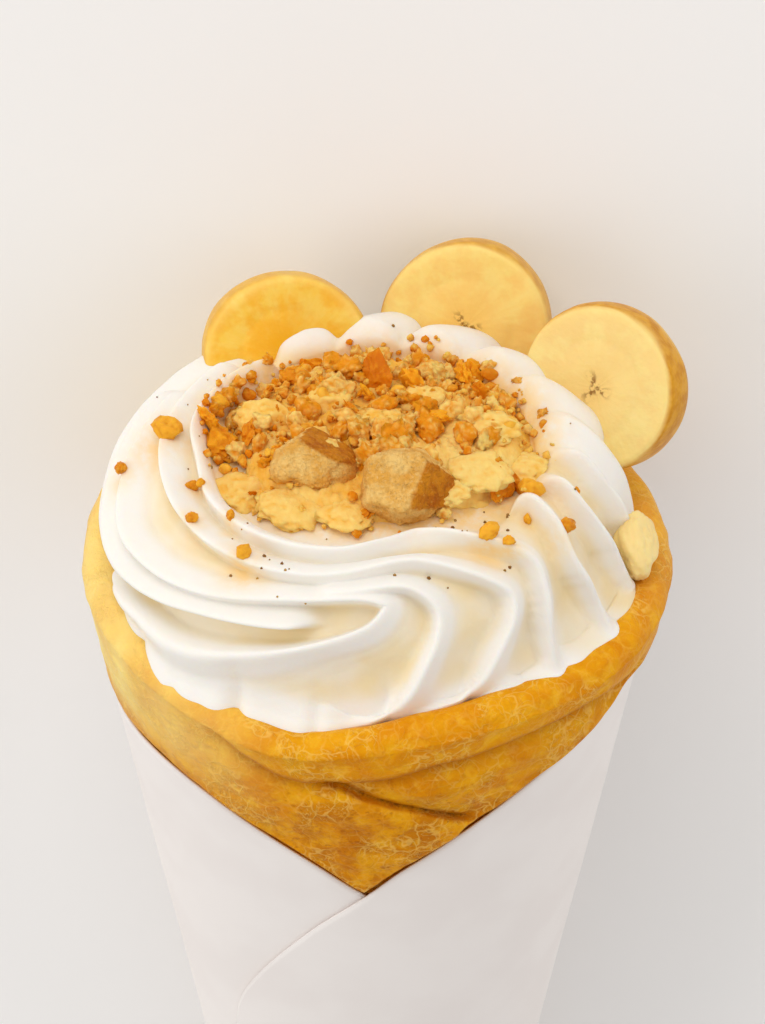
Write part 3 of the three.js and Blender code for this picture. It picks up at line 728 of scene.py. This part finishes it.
def sheet_faces(rows, columns):
    """Quads of the sheet: its outer side, its inner side and the strip round its edge."""
    shift = rows * columns
    side = grid_faces(rows, columns, False)
    quads = [tuple(f) for f in side[:, ::-1]] + [tuple(f) for f in side + shift]
    for i in range(columns - 1):
        quads.append((i + 1, i, i + shift, i + 1 + shift))
        a = (rows - 1) * columns + i
        quads.append((a, a + 1, a + 1 + shift, a + shift))
    for row in range(rows - 1):
        a, b = row * columns, (row + 1) * columns
        quads.append((a, b, b + shift, a + shift))
        a, b = a + columns - 1, b + columns - 1
        quads.append((b, a, a + shift, b + shift))
    return quads


def make_paper():
    sides = np.array([sheet_side(depth) for depth in (0.0, PAPER)])
    quads = sheet_faces(*sides.shape[1:3])
    piece = new_object("paper_sleeve", lay(sides.reshape(-1, 3)), quads, paper_material())
    ride(piece, "paper", "paper")


# Crepe

def lip_outer(angle):
    return MOUTH_R + 0.5 + 1.1 * np.sin(np.radians(angle))


def crease(angle, z, heights, start, end, over):
    """A fold's depth, and how far its front layer hangs over its line.

    One layer rounds over the line and the other comes out from behind it. over is 1 where
    the upper layer lies in front, and -1 where the lower one does.
    """
    fade = ease((angle - start) / 9) * ease((end - angle) / 9)
    off = over * (z - through(heights, angle))
    near = 1 - np.clip(off / FOLD_ROUND, 0, 1)
    front = 1 - np.sqrt(1 - near ** 2)
    behind = (1 - np.clip(-off / FOLD_REACH, 0, 1)) ** 1.5
    hang = over * FOLD_HANG * np.sin(math.pi * near) * (off > 0)
    return fade * np.where(off > 0, front, behind), fade * hang


def folds(angle, z):
    first = crease(angle, z, FIRST_CREASE, -36, 68, 1)
    second = crease(angle, z, SECOND_CREASE, -14, 40, -1)
    return first, second


def crepe_wall(angle, z):
    """Points of the crepe's outer face, its front layers hanging over its folds."""
    over_edge = z - sleeve_edge(angle)
    clear = ease((over_edge - 0.2) / 2.4)
    deep = ease((over_edge - 0.5) / 4)
    (first, first_hang), (second, second_hang) = folds(angle, z)
    swell = 0.6 + 1.1 * np.sin(np.radians(angle)) - deep * FOLD_DEPTH * (first + 0.8 * second)
    r = cone_radius(z) + mix(-CREPE_INSET, swell, clear)
    return polar(angle, r, z - deep * (first_hang + 0.8 * second_hang))


def floor_height(angle, r):
    return mix(FLOOR_Z, through(LIP_TOP, angle) - FLOOR_DROP, ease(r / LIP_INNER))


def crepe_grid(angle, edge, foot):
    """The crepe's rings: its floor, its round lip, and its wall in front of and inside the sleeve."""
    top = through(LIP_TOP, angle)
    middle = lip_outer(angle) - LIP
    rows = [polar(angle, r, floor_height(angle, r)) for r in FLOOR_RINGS]
    for bend in np.linspace(185, 12, 26):
        turn = math.radians(bend)
        rows.append(polar(angle, middle + LIP * math.cos(turn), top - LIP + LIP * math.sin(turn)))
    for share in np.linspace(0, 1, 150):
        rows.append(crepe_wall(angle, mix(top - LIP + 0.4, edge + 0.1, share)))
    for share in (0.01, 0.03, 0.1, 0.3, 0.6, 1):
        rows.append(crepe_wall(angle, mix(edge, foot, share)))
    return np.array(rows)


def with_lumps(grid, edge):
    """The crepe's grid with lumps where it shows, and level with the floor where it lies on it."""
    show = ease((grid[..., 2] - edge) / 4) * ease((from_axis(grid) - LIP_INNER) / 4)
    lumps = fractal(grid, CREPE_LUMPS) + fractal(grid * (1, 1, 2.2), CREPE_PITS)
    grid[..., :2] += unit(grid[..., :2]) * (lumps * show)[..., None]
    grid[..., 2] += fractal(grid, CREPE_RISES) * show
    return pressed(grid, PAPER + 0.1)


def crepe_shades(grid, angle, edge):
    """How much light is painted on the crepe at its left, how toasted it is low down, and how much shade
    is painted in its folds.
    """
    height = grid[..., 2]
    over_edge = height - edge
    # painted light: paler at the left, where the strongest lamp falls, a little at the right, in patches,
    # fading towards the sleeve's edge
    pale = 0.95 * ease((-14 - angle) / 50) + 0.15 * ease((angle - 55) / 40)
    pale = pale * ease((over_edge - 1) / 9) * (0.8 + fractal(grid, CREPE_PATCHES))
    low = ease((2 - height - 6 * ease(np.abs(angle) / 50)) / 22)
    low = low * (0.35 + 0.65 * ease((angle + 40) / 35))
    low = np.maximum(low, 0.85 * ease(1 - over_edge / 9))
    (first, _), (second, _) = folds(angle, height)
    # painted shade: darker where the crepe dips into its two folds, on its outer wall only, fading near
    # the sleeve's edge
    fold_shade = np.maximum(ease((first - 0.2) / 0.6), ease((second - 0.5) / 0.5))
    fold_shade = fold_shade * (from_axis(grid) > LIP_INNER) * ease((over_edge - 1) / 4)
    return {"pale": np.clip(pale, 0, 1), "low": low, "fold_shade": fold_shade}


def make_crepe():
    angle = np.linspace(-180, 180, CREPE_COLUMNS, endpoint=False)
    edge = sleeve_edge(angle)
    foot = -LENGTH + CREPE_INSET + PAPER
    grid = with_lumps(crepe_grid(angle, edge, foot), edge)
    piece = ring_body("crepe_roll", grid, (0, 0, FLOOR_Z), (0, 0, foot), crepe_material())
    for name, values in crepe_shades(grid, angle, edge).items():
        add_ring_values(piece, name, values)
    ride(piece, "crepe", "crepe")


# Cream

PROFILE_RUN = spline(CREAM_PROFILE, 60)
PROFILE_LENGTHS = np.concatenate([[0], np.cumsum(np.linalg.norm(np.diff(PROFILE_RUN, axis=0), axis=1))])
PROFILE_LENGTH = PROFILE_LENGTHS[-1]


def profile_spot(length):
    """Radius and height of the cream's crest envelope at a length from its middle."""
    return [np.interp(length, PROFILE_LENGTHS, PROFILE_RUN[:, i]) for i in range(2)]


def profile_at(share):
    """Radius, height and tangent of the cream's crest envelope at a share of its length."""
    length = np.asarray(share, float) * PROFILE_LENGTH
    r, z = profile_spot(length)
    dr, dz = np.subtract(profile_spot(length + 0.2), profile_spot(length - 0.2))
    size = np.hypot(dr, dz)
    return r, z, dr / size, dz / size


def crest_places(angles, shares, run):
    """Where the grid lies beside a crest.

    How near it, on which side, how far along it of its whole length, and which way is across.
    """
    radius = profile_at(shares)[0][:, None]
    along_dome = (shares * PROFILE_LENGTH)[:, None]
    shape = (len(shares), len(angles))
    near = np.full(shape, 1e9)
    side, travel, lean_x, lean_y = (np.zeros(shape) for _ in range(4))
    walked = 0.0
    for a, b in zip(run[:-1], run[1:]):
        rows = (shares > min(a[1], b[1]) - 0.16) & (shares < max(a[1], b[1]) + 0.16)
        dy = (b[1] - a[1]) * PROFILE_LENGTH
        for turn in (-360, 0, 360):
            columns = (angles > min(a[0], b[0]) + turn - 26) & (angles < max(a[0], b[0]) + turn + 26)
            if not columns.any():
                continue
            box = np.ix_(rows, columns)
            r = radius[rows]
            ax = np.radians(a[0] + turn - angles[columns])[None, :] * r
            ay = a[1] * PROFILE_LENGTH - along_dome[rows]
            dx = np.radians(b[0] - a[0]) * r
            size = np.hypot(dx, dy)
            t = np.clip(-(ax * dx + ay * dy) / size ** 2, 0, 1)
            distance = np.hypot(ax + t * dx, ay + t * dy)
            closer = distance < near[box]
            for field, value in ((near, distance), (side, dx * ay - dy * ax), (travel, walked + t * size),
                                 (lean_x, -dy / size), (lean_y, dx / size)):
                field[box] = np.where(closer, value, field[box])
        walked += np.hypot(np.radians(b[0] - a[0]) * 40, dy)
    return near, side, travel, walked, lean_x, lean_y


def crest_relief(angles, shares, crest):
    """One ridge on the grid: height, from 0 to 1 on its crest, and lean to its outer side."""
    near, side, travel, walked, lean_x, lean_y = crest_places(angles, shares, spline(crest, 9))
    slope = np.clip(1 - near / RIDGE_INNER, 0, 1)
    inner = 0.6 * np.exp(-(near / RIDGE_ROUND) ** 2) * slope + 0.4 * slope ** 1.2
    outer = np.sqrt(np.clip(1 - (near / RIDGE_OUTER) ** 2, 0, 1))
    lobe = np.sqrt(np.clip(1 - (near / LOBE_HALF) ** 2, 0, 1))
    behind = ease((crest[0][0] - 88) / 20)
    ends = ease(travel / 9) * (1.0 if crest[-1][1] > 0.9 else ease((walked - travel) / 7))
    height = mix(np.where(side > 0, inner, outer), lobe, behind) * ends
    streak = 0.03 * np.cos(near * 3.0) * slope * (side > 0) * ease(near / 1.5) * ends * (1 - behind)
    return height, lean_x * (1 - behind), lean_y * (1 - behind), streak


def smoothed(field):
    """A field of the grid averaged with its neighbours, round and down."""
    field = (np.roll(field, 1, axis=1) + 2 * field + np.roll(field, -1, axis=1)) / 4
    padded = np.vstack([field[:1], field, field[-1:]])
    return (padded[:-2] + 2 * padded[1:-1] + padded[2:]) / 4


def ridge_relief(angles, shares):
    """Height and lean of all ridges together."""
    shape = (len(shares), len(angles))
    height, lean_x, lean_y, streak = (np.zeros(shape) for _ in range(4))
    for crest in CRESTS:
        rise, x, y, fine = crest_relief(angles, shares, crest)
        higher = rise > height
        for field, value in ((height, rise), (lean_x, x), (lean_y, y), (streak, fine)):
            field[higher] = value[higher]
    height = smoothed(smoothed(height + streak))
    lean = RIDGE_LEAN * np.clip(height, 0, 1) ** 2
    return height, smoothed(smoothed(lean * lean_x)), smoothed(smoothed(lean * lean_y))


def lip_height(angle, r):
    """Height of the crepe's rounded lip at a radius."""
    off = np.clip(r - lip_outer(angle) + LIP, -LIP, LIP)
    return through(LIP_TOP, angle) - LIP + np.sqrt(LIP * LIP - off * off)


def cream_skin(angles, shares):
    """Points of the cream's skin and the height of its ridges, rows down and columns round."""
    height, lean_x, lean_y = ridge_relief(angles, shares)
    share = shares[:, None]
    near_foot = ease((share - 0.8) / 0.2)
    rounded = height
    for _ in range(FOOT_ROUNDS):
        rounded = smoothed(rounded)
    height = mix(height, rounded, near_foot)
    ridged = ease((share - 0.26) / 0.14) * (1 - 0.72 * near_foot)
    r, z, tr, tz = profile_at(np.clip(share + lean_y * ridged / PROFILE_LENGTH, 0, 1))
    angle = angles[None, :] + np.degrees(lean_x * ridged / np.maximum(r, 8))
    wide = 1 - 0.022 * np.sin(np.radians(angle)) * ease(r / MOUTH_R)
    low = ease((share - 0.78) / 0.22)
    around = polar(angle, 40, 0 * angle)
    lift = ridged * RIDGE_DEPTH * (height - mix(1.0, 0.6, near_foot))
    lift = lift + ridged * fractal(polar(angle, r, z), CREAM_WAVES)
    lift = lift + low * (1 - height) * fractal(around, SKIRT_WAVES)
    for middle, depth in SKIRT_FOLDS:
        lift = lift - 0.6 * depth * low * (1 - height) * np.exp(-((angle - middle) / SKIRT_FOLD) ** 2)
    foot = through(CREAM_FOOT, angle) + fractal(around, FOOT_WAVES)
    for middle, depth in SKIRT_FOLDS:
        foot = foot - 0.7 * depth * np.exp(-np.abs((angle - middle) / SKIRT_FOLD))
    r = mix(r * wide, foot, low) + lift * mix(-tz, 1, low)
    rest = lip_height(angle, r) + mix(0.4, -0.4, ease((share - 0.93) / 0.07))
    z = np.maximum(mix(z + tr * lift, rest, low), rest)
    return polar(angle, r, z), height


def heap_share(x, y):
    """How far a place is from the heap's middle, 1 at its outline."""
    return np.hypot((x - HEAP["at"][0]) / HEAP["half"][0], (y - HEAP["at"][1]) / HEAP["half"][1])


def cream_grid(skin, angles):
    """The cream's skin, carried on under its foot and over the crepe's floor."""
    rows = list(skin)
    foot = skin[-1]
    inward = unit(-foot * (1, 1, 0))
    for bend in (20, 40, 60, 80):
        turn = math.radians(bend)
        curl = inward * (1 - math.cos(turn)) - np.array([0, 0, 1]) * math.sin(turn)
        rows.append(foot + curl * FOOT_CURL)
    rows.append(foot + (inward - np.array([0, 0, 1])) * 2 * FOOT_CURL)
    rows.append(polar(angles, LIP_INNER + 0.6, through(LIP_TOP, angles) - LIP))
    for r in (30, 14):
        rows.append(polar(angles, r, floor_height(angles, r) + 0.3))
    return np.array(rows)


def cream_dust(skin, angles, shares):
    """How much fine crumb lies on the cream: round the heap, and round the scattered bits."""
    from_heap = heap_share(skin[..., 0], skin[..., 1])
    dust = 0.9 * np.exp(-np.maximum(from_heap - 0.95, 0) ** 2 / 0.04)
    for angle, share, size in SCATTER:
        spot = skin_spot(skin, angles, shares, angle, share)[0]
        off = np.linalg.norm(skin - spot - (0, 0, -0.8 * size), axis=-1) / (size * 1.2)
        dust = np.maximum(dust, 0.75 * np.exp(-off ** 2))
    return dust


def make_cream(skin, height, angles, shares):
    grid = cream_grid(skin, angles)
    top, bottom = (0, 0, CREAM_PROFILE[0][1]), (0, 0, FLOOR_Z + 0.3)
    piece = ring_body("cream_swirl", grid, top, bottom, cream_material())
    under = np.ones((len(grid) - len(skin), len(angles)))
    flat = ease((shares - 0.3) / 0.1)[:, None]
    skirt = 1 - ease((shares - 0.84) / 0.1)[:, None] * ease((90 - np.abs(angles + 20)) / 60)
    # where shade is painted on the cream: low between its ridges, not on its flat middle nor on its skirt
    # round the front
    valley_shade = np.clip(1 - height, 0, 1) * flat * skirt
    add_ring_values(piece, "valley_shade", np.vstack([valley_shade, under]))
    add_ring_values(piece, "dust", np.vstack([cream_dust(skin, angles, shares), 0 * under]))
    ride(piece, "cream", "cream")


def skin_spot(skin, angles, shares, angle, share):
    """The point of the skin at an angle and share, and its outward direction."""
    row = int(np.clip(np.searchsorted(shares, share), 1, len(shares) - 2))
    column = int(np.argmin(np.abs((angles - angle + 180) % 360 - 180)))
    across = skin[row, (column + 1) % len(angles)] - skin[row, column - 1]
    down = skin[row + 1, column] - skin[row - 1, column]
    return skin[row, column], unit(np.cross(down, across))


# Banana

def slice_axes(disc):
    """Across, up and out of a slice's face, as rows."""
    turn, lean = math.radians(disc["turn"]), math.radians(SLICE_LEAN)
    out = np.array([-math.sin(turn) * math.cos(lean), -math.cos(turn) * math.cos(lean), math.sin(lean)])
    across = np.array([math.cos(turn), -math.sin(turn), 0.0])
    return np.array([across, np.cross(out, across), out])


def slice_section():
    """A slice's section from one middle to the other: shares of its radius and of its half height."""
    round_edge = ((0.93, 0.97), (0.96, 0.9), (0.98, 0.78), (0.99, 0.55), (1, 0.2))
    front = [(0.02 + 0.88 * i / 22, 1.0) for i in range(23)]
    back = [(0.9 - 0.88 * i / 12, -1.0) for i in range(13)]
    return front + list(round_edge) + [(out, -up) for out, up in reversed(round_edge)] + back


def slice_relief(local, shaped):
    """A slice's faces with their hollow, ring and rays, and its side a little uneven."""
    out = from_axis(local)
    on_face = (np.abs(local[..., 2]) > 0.99) * ease((0.93 - out) / 0.1)
    angle = np.arctan2(local[..., 1], local[..., 0])
    hollow = -0.35 * np.exp(-((out - 0.1) / 0.12) ** 2) - 0.22 * np.exp(-((out - 0.56) / 0.06) ** 2)
    rays = fractal(np.stack([angle * 7, out * 2, local[..., 2]], -1), SLICE_RAYS)
    rise = hollow + rays + fractal(shaped, SLICE_WAVES)
    shaped[..., 2] += np.sign(local[..., 2]) * on_face * rise
    shaped[..., :2] *= (1 + fractal(shaped, SLICE_SIDES) * (1 - on_face))[..., None]
    return shaped


def make_slice(name, disc, material):
    half = SLICE_T / 2
    turn = np.linspace(0, 2 * math.pi, SLICE_COLUMNS, endpoint=False)
    outline = 0.985 + 0.015 * np.cos(3 * (turn - disc["phase"]))
    outline = outline + fractal(np.stack([np.cos(turn), np.sin(turn), 0 * turn], -1), SLICE_OUTLINE)
    local = np.array([
        np.stack([out * outline * np.cos(turn), out * outline * np.sin(turn), up + 0 * turn], axis=-1)
        for out, up in slice_section()
    ])
    shaped = slice_relief(local, local * np.array([disc["radius"], disc["radius"], half]))
    axes, at = slice_axes(disc), np.array(disc["at"])
    poles = np.array([[0, 0, half - 0.3], [0, 0, 0.3 - half]]) @ axes + at
    piece = ring_body(name + "_slice", shaped @ axes + at, poles[0], poles[1], material)
    flat = np.vstack([local.reshape(-1, 3), [[0, 0, 1], [0, 0, -1]]])
    add_vectors(piece, "slice", flat)
    # how much of the darker side colour, with its painted shade, a slice gets: more on the less ripe ones
    side = ease((from_axis(flat) - 0.94) / 0.03)
    add_values(piece, "side", side * mix(1.5, 0.5, disc["ripe"]))
    add_values(piece, "ripe", 0 * side + disc["ripe"])
    ride(piece, "banana", name)


# Lumps: crumbs, bits and chunks

def ball_shape(detail):
    """Points and triangles of a unit ball."""
    mesh = bmesh.new()
    bmesh.ops.create_icosphere(mesh, subdivisions=detail, radius=1.0)
    mesh.verts.ensure_lookup_table()
    points = np.array([tuple(v.co) for v in mesh.verts])
    faces = np.array([[v.index for v in f.verts] for f in mesh.faces])
    mesh.free()
    return points, faces


def broken_shape(detail, seed, planes, knob, rough):
    """A ball broken by flat faces set at random, with knobs of a share of its size."""
    rng = np.random.default_rng(seed)
    normals = unit(rng.normal(size=(planes, 3)))
    return cut_ball(detail, normals, rng.uniform(0.62, 0.98, planes), seed, knob, rough)


def cut_ball(detail, normals, distances, seed, knob, rough):
    """A ball of radius 1 cut by planes and roughened, and how deep each point lies in its pits."""
    points, faces = ball_shape(detail)
    reach = np.clip(points @ np.asarray(normals).T, 0, None) / np.asarray(distances)
    radius = 1 / (np.sum(reach ** 14, axis=1) + 1) ** (1 / 14)
    push = sum(share * np.abs(value_noise(points, knob * share, seed + step))
               for step, share in enumerate((1.0, 0.5, 0.27)))
    radius = radius * (1 + rough * (push - 0.45) * 2 + 0.5 * rough * value_noise(points, 0.9, seed))
    return points * radius[:, None], faces, np.clip(1 - push / 0.5, 0, 1)


def random_turn(rng):
    w, x, y, z = unit(rng.normal(size=4))
    return np.array([
        [1 - 2 * (y * y + z * z), 2 * (x * y - z * w), 2 * (x * z + y * w)],
        [2 * (x * y + z * w), 1 - 2 * (x * x + z * z), 2 * (y * z - x * w)],
        [2 * (x * z - y * w), 2 * (y * z + x * w), 1 - 2 * (x * x + y * y)],
    ])


class Pile:
    """Many small lumps joined into one mesh, each with its own shade, and painted shade added deep in its
    pits.
    """

    def __init__(self, name):
        seed, kinds, detail, first, *broken = PILES[name]
        self.name = name
        self.shapes = [broken_shape(detail, first + i, *broken) for i in range(kinds)]
        self.rng = np.random.default_rng(seed)
        self.points = []
        self.faces = []
        self.shades = []
        self.count = 0

    def add(self, at, size, stretch=(1.0, 1.0, 1.0), shade=None, turn=None):
        points, faces, pits = self.shapes[self.rng.integers(len(self.shapes))]
        turn = random_turn(self.rng) if turn is None else turn
        moved = (points * np.array(stretch) * size / 2) @ turn.T + np.array(at)
        self.points.append(moved)
        self.faces.append(faces + self.count)
        self.count += len(points)
        tone = self.rng.random() if shade is None else shade
        # painted shade: the crumb's own tone made deeper in its pits
        self.shades.append(tone + 0.7 * pits)

    def build(self, material, smooth=True):
        points, faces = np.vstack(self.points), np.vstack(self.faces)
        piece = new_object(self.name, lay(points), faces, material, smooth)
        add_values(piece, "shade", np.concatenate(self.shades))
        ride(piece, "crumbs")


def heap_top(x, y):
    """Height of the heap over a place: domed, and sunk into the cream at its outline."""
    out = heap_share(x, y)
    dome = HEAP["up"] * np.sqrt(np.clip(1 - out ** 2, 0, 1))
    return HEAP["at"][2] + dome - HEAP_SINK * ease((out - 0.82) / 0.18)


def bareness(x, y):
    """How likely a place stays free of crumbs: the heap is barer in front and at its right."""
    right = ease((x - 5) / 9) * ease((3 - y) / 8)
    front = ease((-8 - y) / 5) * ease((x + 15) / 8)
    return 0.85 * max(right, front)


class Ground:
    """What crumbs lie on: the heap, or the cream where that is higher."""

    def __init__(self, skin, angles):
        rise = int(np.argmax(skin[..., 2].mean(axis=1)))
        self.skin = skin[:rise]
        self.angles = angles

    def height(self, x, y):
        angle = math.degrees(math.atan2(x, -y))
        column = int(np.argmin(np.abs((self.angles - angle + 180) % 360 - 180)))
        line = self.skin[:, column]
        cream = np.interp(math.hypot(x, y), np.hypot(line[:, 0], line[:, 1]), line[:, 2])
        return max(heap_top(x, y), cream)

    def spot(self, rng, reach=1.0):
        """A random place on the ground, and its share of the way out of the heap."""
        while True:
            turn = rng.random() * 2 * math.pi
            share = reach * math.sqrt(rng.random())
            x = HEAP["at"][0] + share * HEAP["half"][0] * math.cos(turn)
            y = HEAP["at"][1] + share * HEAP["half"][1] * math.sin(turn)
            if rng.random() >= bareness(x, y):
                return np.array([x, y, self.height(x, y)]), share


def heap_tone(at):
    """Crumbs are paler towards the right of the heap and its front."""
    return -0.4 * float(ease((at[0] - 2) / 14)) - 0.25 * float(ease((-at[1] - 4) / 8))


def make_heap_core(material):
    turn = np.linspace(0, 2 * math.pi, HEAP_COLUMNS, endpoint=False)
    rows = []
    for out in np.linspace(0.02, 1, 80):
        wave = 1 + 0.06 * np.sin(3 * turn + 1) + 0.05 * np.sin(7 * turn)
        x = HEAP["at"][0] + np.cos(turn) * out * wave * HEAP["half"][0]
        y = HEAP["at"][1] + np.sin(turn) * out * wave * HEAP["half"][1]
        rows.append(np.stack([x, y, heap_top(x, y) - 0.6], axis=-1))
    grid = np.array(rows)
    grid[..., 2] += np.abs(fractal(grid, HEAP_LUMPS)) + np.abs(fractal(grid, HEAP_GRAINS))
    under = grid[-1] * (0.8, 0.8, 1) - (0, 0, 2.5)
    grid = np.concatenate([grid, under[None]])
    middle = np.array(HEAP["at"]) + (0, 0, HEAP["up"] - 0.4)
    piece = ring_body("crumbs_core", grid, middle, np.array(HEAP["at"]) - (0, 0, 2), material)
    spots = np.vstack([grid.reshape(-1, 3), [middle, middle]])
    bare = ease((spots[:, 0] - 3) / 9) * ease((3 - spots[:, 1]) / 8)
    add_values(piece, "shade", 0.8 - 0.4 * bare + fractal(spots, HEAP_SHADES))
    ride(piece, "crumbs", "crumbs")


def make_slabs(ground, material):
    """Flat slabs the colour of custard, lying level in the heap."""
    slabs = Pile("crumbs_slab")
    for x, y, size, flat in HEAP_SLABS:
        at = np.array([x, y, ground.height(x, y)])
        slabs.add(at, size, (1.15, 1.0, flat), 0.6 + 0.5 * heap_tone(at), np.eye(3))
    slabs.build(material)


def make_biscuit_lumps(ground):
    lumps = Pile("crumbs_biscuit")
    for _ in range(BISCUIT_LUMPS):
        at, out = ground.spot(lumps.rng, 1.12)
        size = mix(1.8, 5.4 - 2 * out * out, lumps.rng.random() ** 1.3)
        over = 0.12 * size + 1.4 * lumps.rng.random() * max(1 - out, 0)
        lumps.add(at + (0, 0, over), size, (1.2, 0.95, 0.8), lumps.rng.random() + 0.7 * heap_tone(at))
    lumps.build(crumb_material("crumb_biscuit"))


def make_toasted_flakes(ground):
    flakes = Pile("crumbs_toasted")
    for x, y, size in HEAP_FLAKES:
        flakes.add((x, y, ground.height(x, y) + 0.3 * size), size, (1.3, 1.0, 0.5))
    for _ in range(LOOSE_FLAKES):
        at, _ = ground.spot(flakes.rng, 1.06)
        flakes.add(at + (0, 0, 1.0), mix(1.6, 3.4, flakes.rng.random() ** 2), (1.3, 0.9, 0.45))
    flakes.build(crumb_material("crumb_toasted"), smooth=False)


def make_nut_bits(ground):
    nuts = Pile("crumbs_nut")
    for _ in range(NUT_BITS):
        at, _ = ground.spot(nuts.rng, 1.1)
        nuts.add(at + (0, 0, 0.8), mix(1.2, 3.0, nuts.rng.random() ** 1.5), (1.3, 0.85, 0.85))
    nuts.build(crumb_material("crumb_nut"))


def make_grains(ground):
    grains = Pile("crumbs_fine")
    for _ in range(GRAINS):
        at, _ = ground.spot(grains.rng, 1.16)
        size = mix(0.5, 1.7, grains.rng.random() ** 2)
        over = 0.3 + 0.7 * grains.rng.random()
        grains.add(at + (0, 0, over), size, shade=grains.rng.random() + heap_tone(at))
    grains.build(crumb_material("crumb_fine"))


def make_crumbs(ground):
    custard = crumb_material("crumb_custard")
    make_heap_core(custard)
    make_slabs(ground, custard)
    make_biscuit_lumps(ground)
    make_toasted_flakes(ground)
    make_nut_bits(ground)
    make_grains(ground)


def make_scatter(skin, angles, shares):
    """Bits and specks that lie on the cream."""
    bits = Pile("cream_bits")
    for angle, share, size in SCATTER:
        spot, normal = skin_spot(skin, angles, shares, angle, share)
        bits.add(spot + normal * 0.15 * size, size, (1.1, 0.9, 0.8))
    bits.build(crumb_material("bit"))
    specks = Pile("cream_specks")
    for _ in range(SPECKS):
        angle = specks.rng.normal() * 75
        share = mix(0.3, 0.62, specks.rng.random() ** 1.5)
        spot, normal = skin_spot(skin, angles, shares, angle, share)
        specks.add(spot + normal * 0.05, mix(0.3, 0.75, specks.rng.random() ** 2))
    specks.build(crumb_material("speck"))


def make_chunk(name, chunk, material, seed):
    """A broken chunk of biscuit, one of its flat faces the baked crust."""
    rise = math.radians(CAMERA_RISE)
    axes = np.array([[1, 0, 0], [0, math.sin(rise), math.cos(rise)], [0, -math.cos(rise), math.sin(rise)]])
    normals = unit(np.array([facing for facing, _ in chunk["faces"]], float))
    distances = [distance / chunk["reach"] for _, distance in chunk["faces"]]
    local, faces, _ = cut_ball(5, normals, distances, seed, 0.16, 0.035)
    crust_side = local @ normals[0] - distances[0]
    crust = ease((crust_side + 0.09) / 0.05)
    pores = np.minimum(fractal(local, (1.0, 0.22, 3, seed + 3)) + 0.25, 0) * 0.13 * (1 - crust)
    local = local + unit(local) * pores[:, None]
    placed = (local * chunk["reach"]) @ axes + np.array(chunk["at"])
    piece = new_object(name + "_chunk", lay(placed), faces, material)
    add_values(piece, "crust", crust)
    ride(piece, "biscuit", name)


def make_banana_end(material):
    points, faces, _ = broken_shape(5, 87, 8, 0.6, 0.08)
    shaped = points * np.array(BANANA_END["size"]) * 1.1
    piece = new_object("banana_end_piece", lay(shaped + np.array(BANANA_END["at"])), faces, material)
    add_vectors(piece, "slice", 0 * points + (0.5, 0, 0))
    add_values(piece, "side", 0 * points[:, 0])
    add_values(piece, "ripe", 0 * points[:, 0] + 0.4)
    ride(piece, "banana", "banana_end")


# Stage

def upright_direction(vector):
    """An upright direction turned onto its back, in the frame."""
    return Vector(turned_down(vector) - turned_down((0.0, 0.0, 0.0)))


def make_camera():
    rise = math.radians(CAMERA_RISE)
    towards = np.array([0.0, -math.cos(rise), math.sin(rise)])
    up = np.array([0.0, math.sin(rise), math.cos(rise)])
    right = np.array([1.0, 0.0, 0.0])
    off = [(PHOTO_SIZE[i] / 2 - MOUTH_PIXEL[i]) / PIXELS_PER_MM for i in range(2)]
    aim = right * off[0] - up * off[1]
    place = towards * CAMERA_DISTANCE
    forward = unit(aim - place)
    right = unit(np.cross(forward, up))
    up = np.cross(right, forward)
    data = bpy.data.cameras.new("camera")
    data.sensor_width = 36.0
    data.lens = PIXELS_PER_MM * np.linalg.norm(aim - place) / PHOTO_SIZE[1] * data.sensor_width
    data.clip_end = 10.0
    camera = bpy.data.objects.new("camera", data)
    axes = [upright_direction(axis) for axis in (right, up, -forward)]
    turn = Matrix(axes).transposed().to_4x4()
    camera.matrix_world = Matrix.Translation(Vector(lay(place))) @ turn
    bpy.context.scene.collection.objects.link(camera)
    bpy.context.scene.camera = camera


def make_floor():
    n = Nodes("floor")
    colour = n.mottled(n.noise(400.0, 1.0), 0.3, 0.7, (0.92, 0.91, 0.90), (0.93, 0.92, 0.91))
    material = n.finish(colour, 0.9, None, 0.1)
    corners = [(x * FLOOR_REACH, y * FLOOR_REACH, 0) for x, y in ((-1, -1), (1, -1), (1, 1), (-1, 1))]
    floor = new_object("floor", corners, [(0, 1, 2, 3)], material, False)


def area_light(name, direction, distance, size, power, colour):
    """A soft square light that looks at the mouth from a direction of the frame."""
    data = bpy.data.lights.new(name, "AREA")
    data.size = size
    data.energy = power
    data.color = colour
    light = bpy.data.objects.new(name, data)
    aim = Vector(lay((0, 0, 0)))
    light.location = aim + Vector(direction).normalized() * distance
    light.rotation_euler = (aim - light.location).to_track_quat("-Z", "Y").to_euler()
    bpy.context.scene.collection.objects.link(light)


def make_lights():
    world = bpy.data.worlds.new("studio")
    world.use_nodes = True
    background = world.node_tree.nodes["Background"]
    background.inputs["Color"].default_value = ROOM_COLOUR
    background.inputs["Strength"].default_value = ROOM_STRENGTH
    bpy.context.scene.world = world
    for name, light in LIGHTS.items():
        area_light(name, *light)
    bpy.context.scene.view_settings.view_transform = "Standard"


def make_object():
    make_paper()
    make_crepe()
    angles = np.linspace(-180, 180, CREAM_COLUMNS, endpoint=False)
    shares = np.linspace(0.1, 1, CREAM_ROWS)
    skin, height = cream_skin(angles, shares)
    make_cream(skin, height, angles, shares)
    banana = banana_material()
    for name, disc in SLICES.items():
        make_slice(name, disc, banana)
    make_banana_end(banana)
    biscuit = biscuit_material()
    for index, (name, chunk) in enumerate(BISCUITS.items()):
        make_chunk(name, chunk, biscuit, 60 + 10 * index)
    make_crumbs(Ground(skin, angles))
    make_scatter(skin, angles, shares)


make_camera()
make_object()
make_floor()
make_lights()
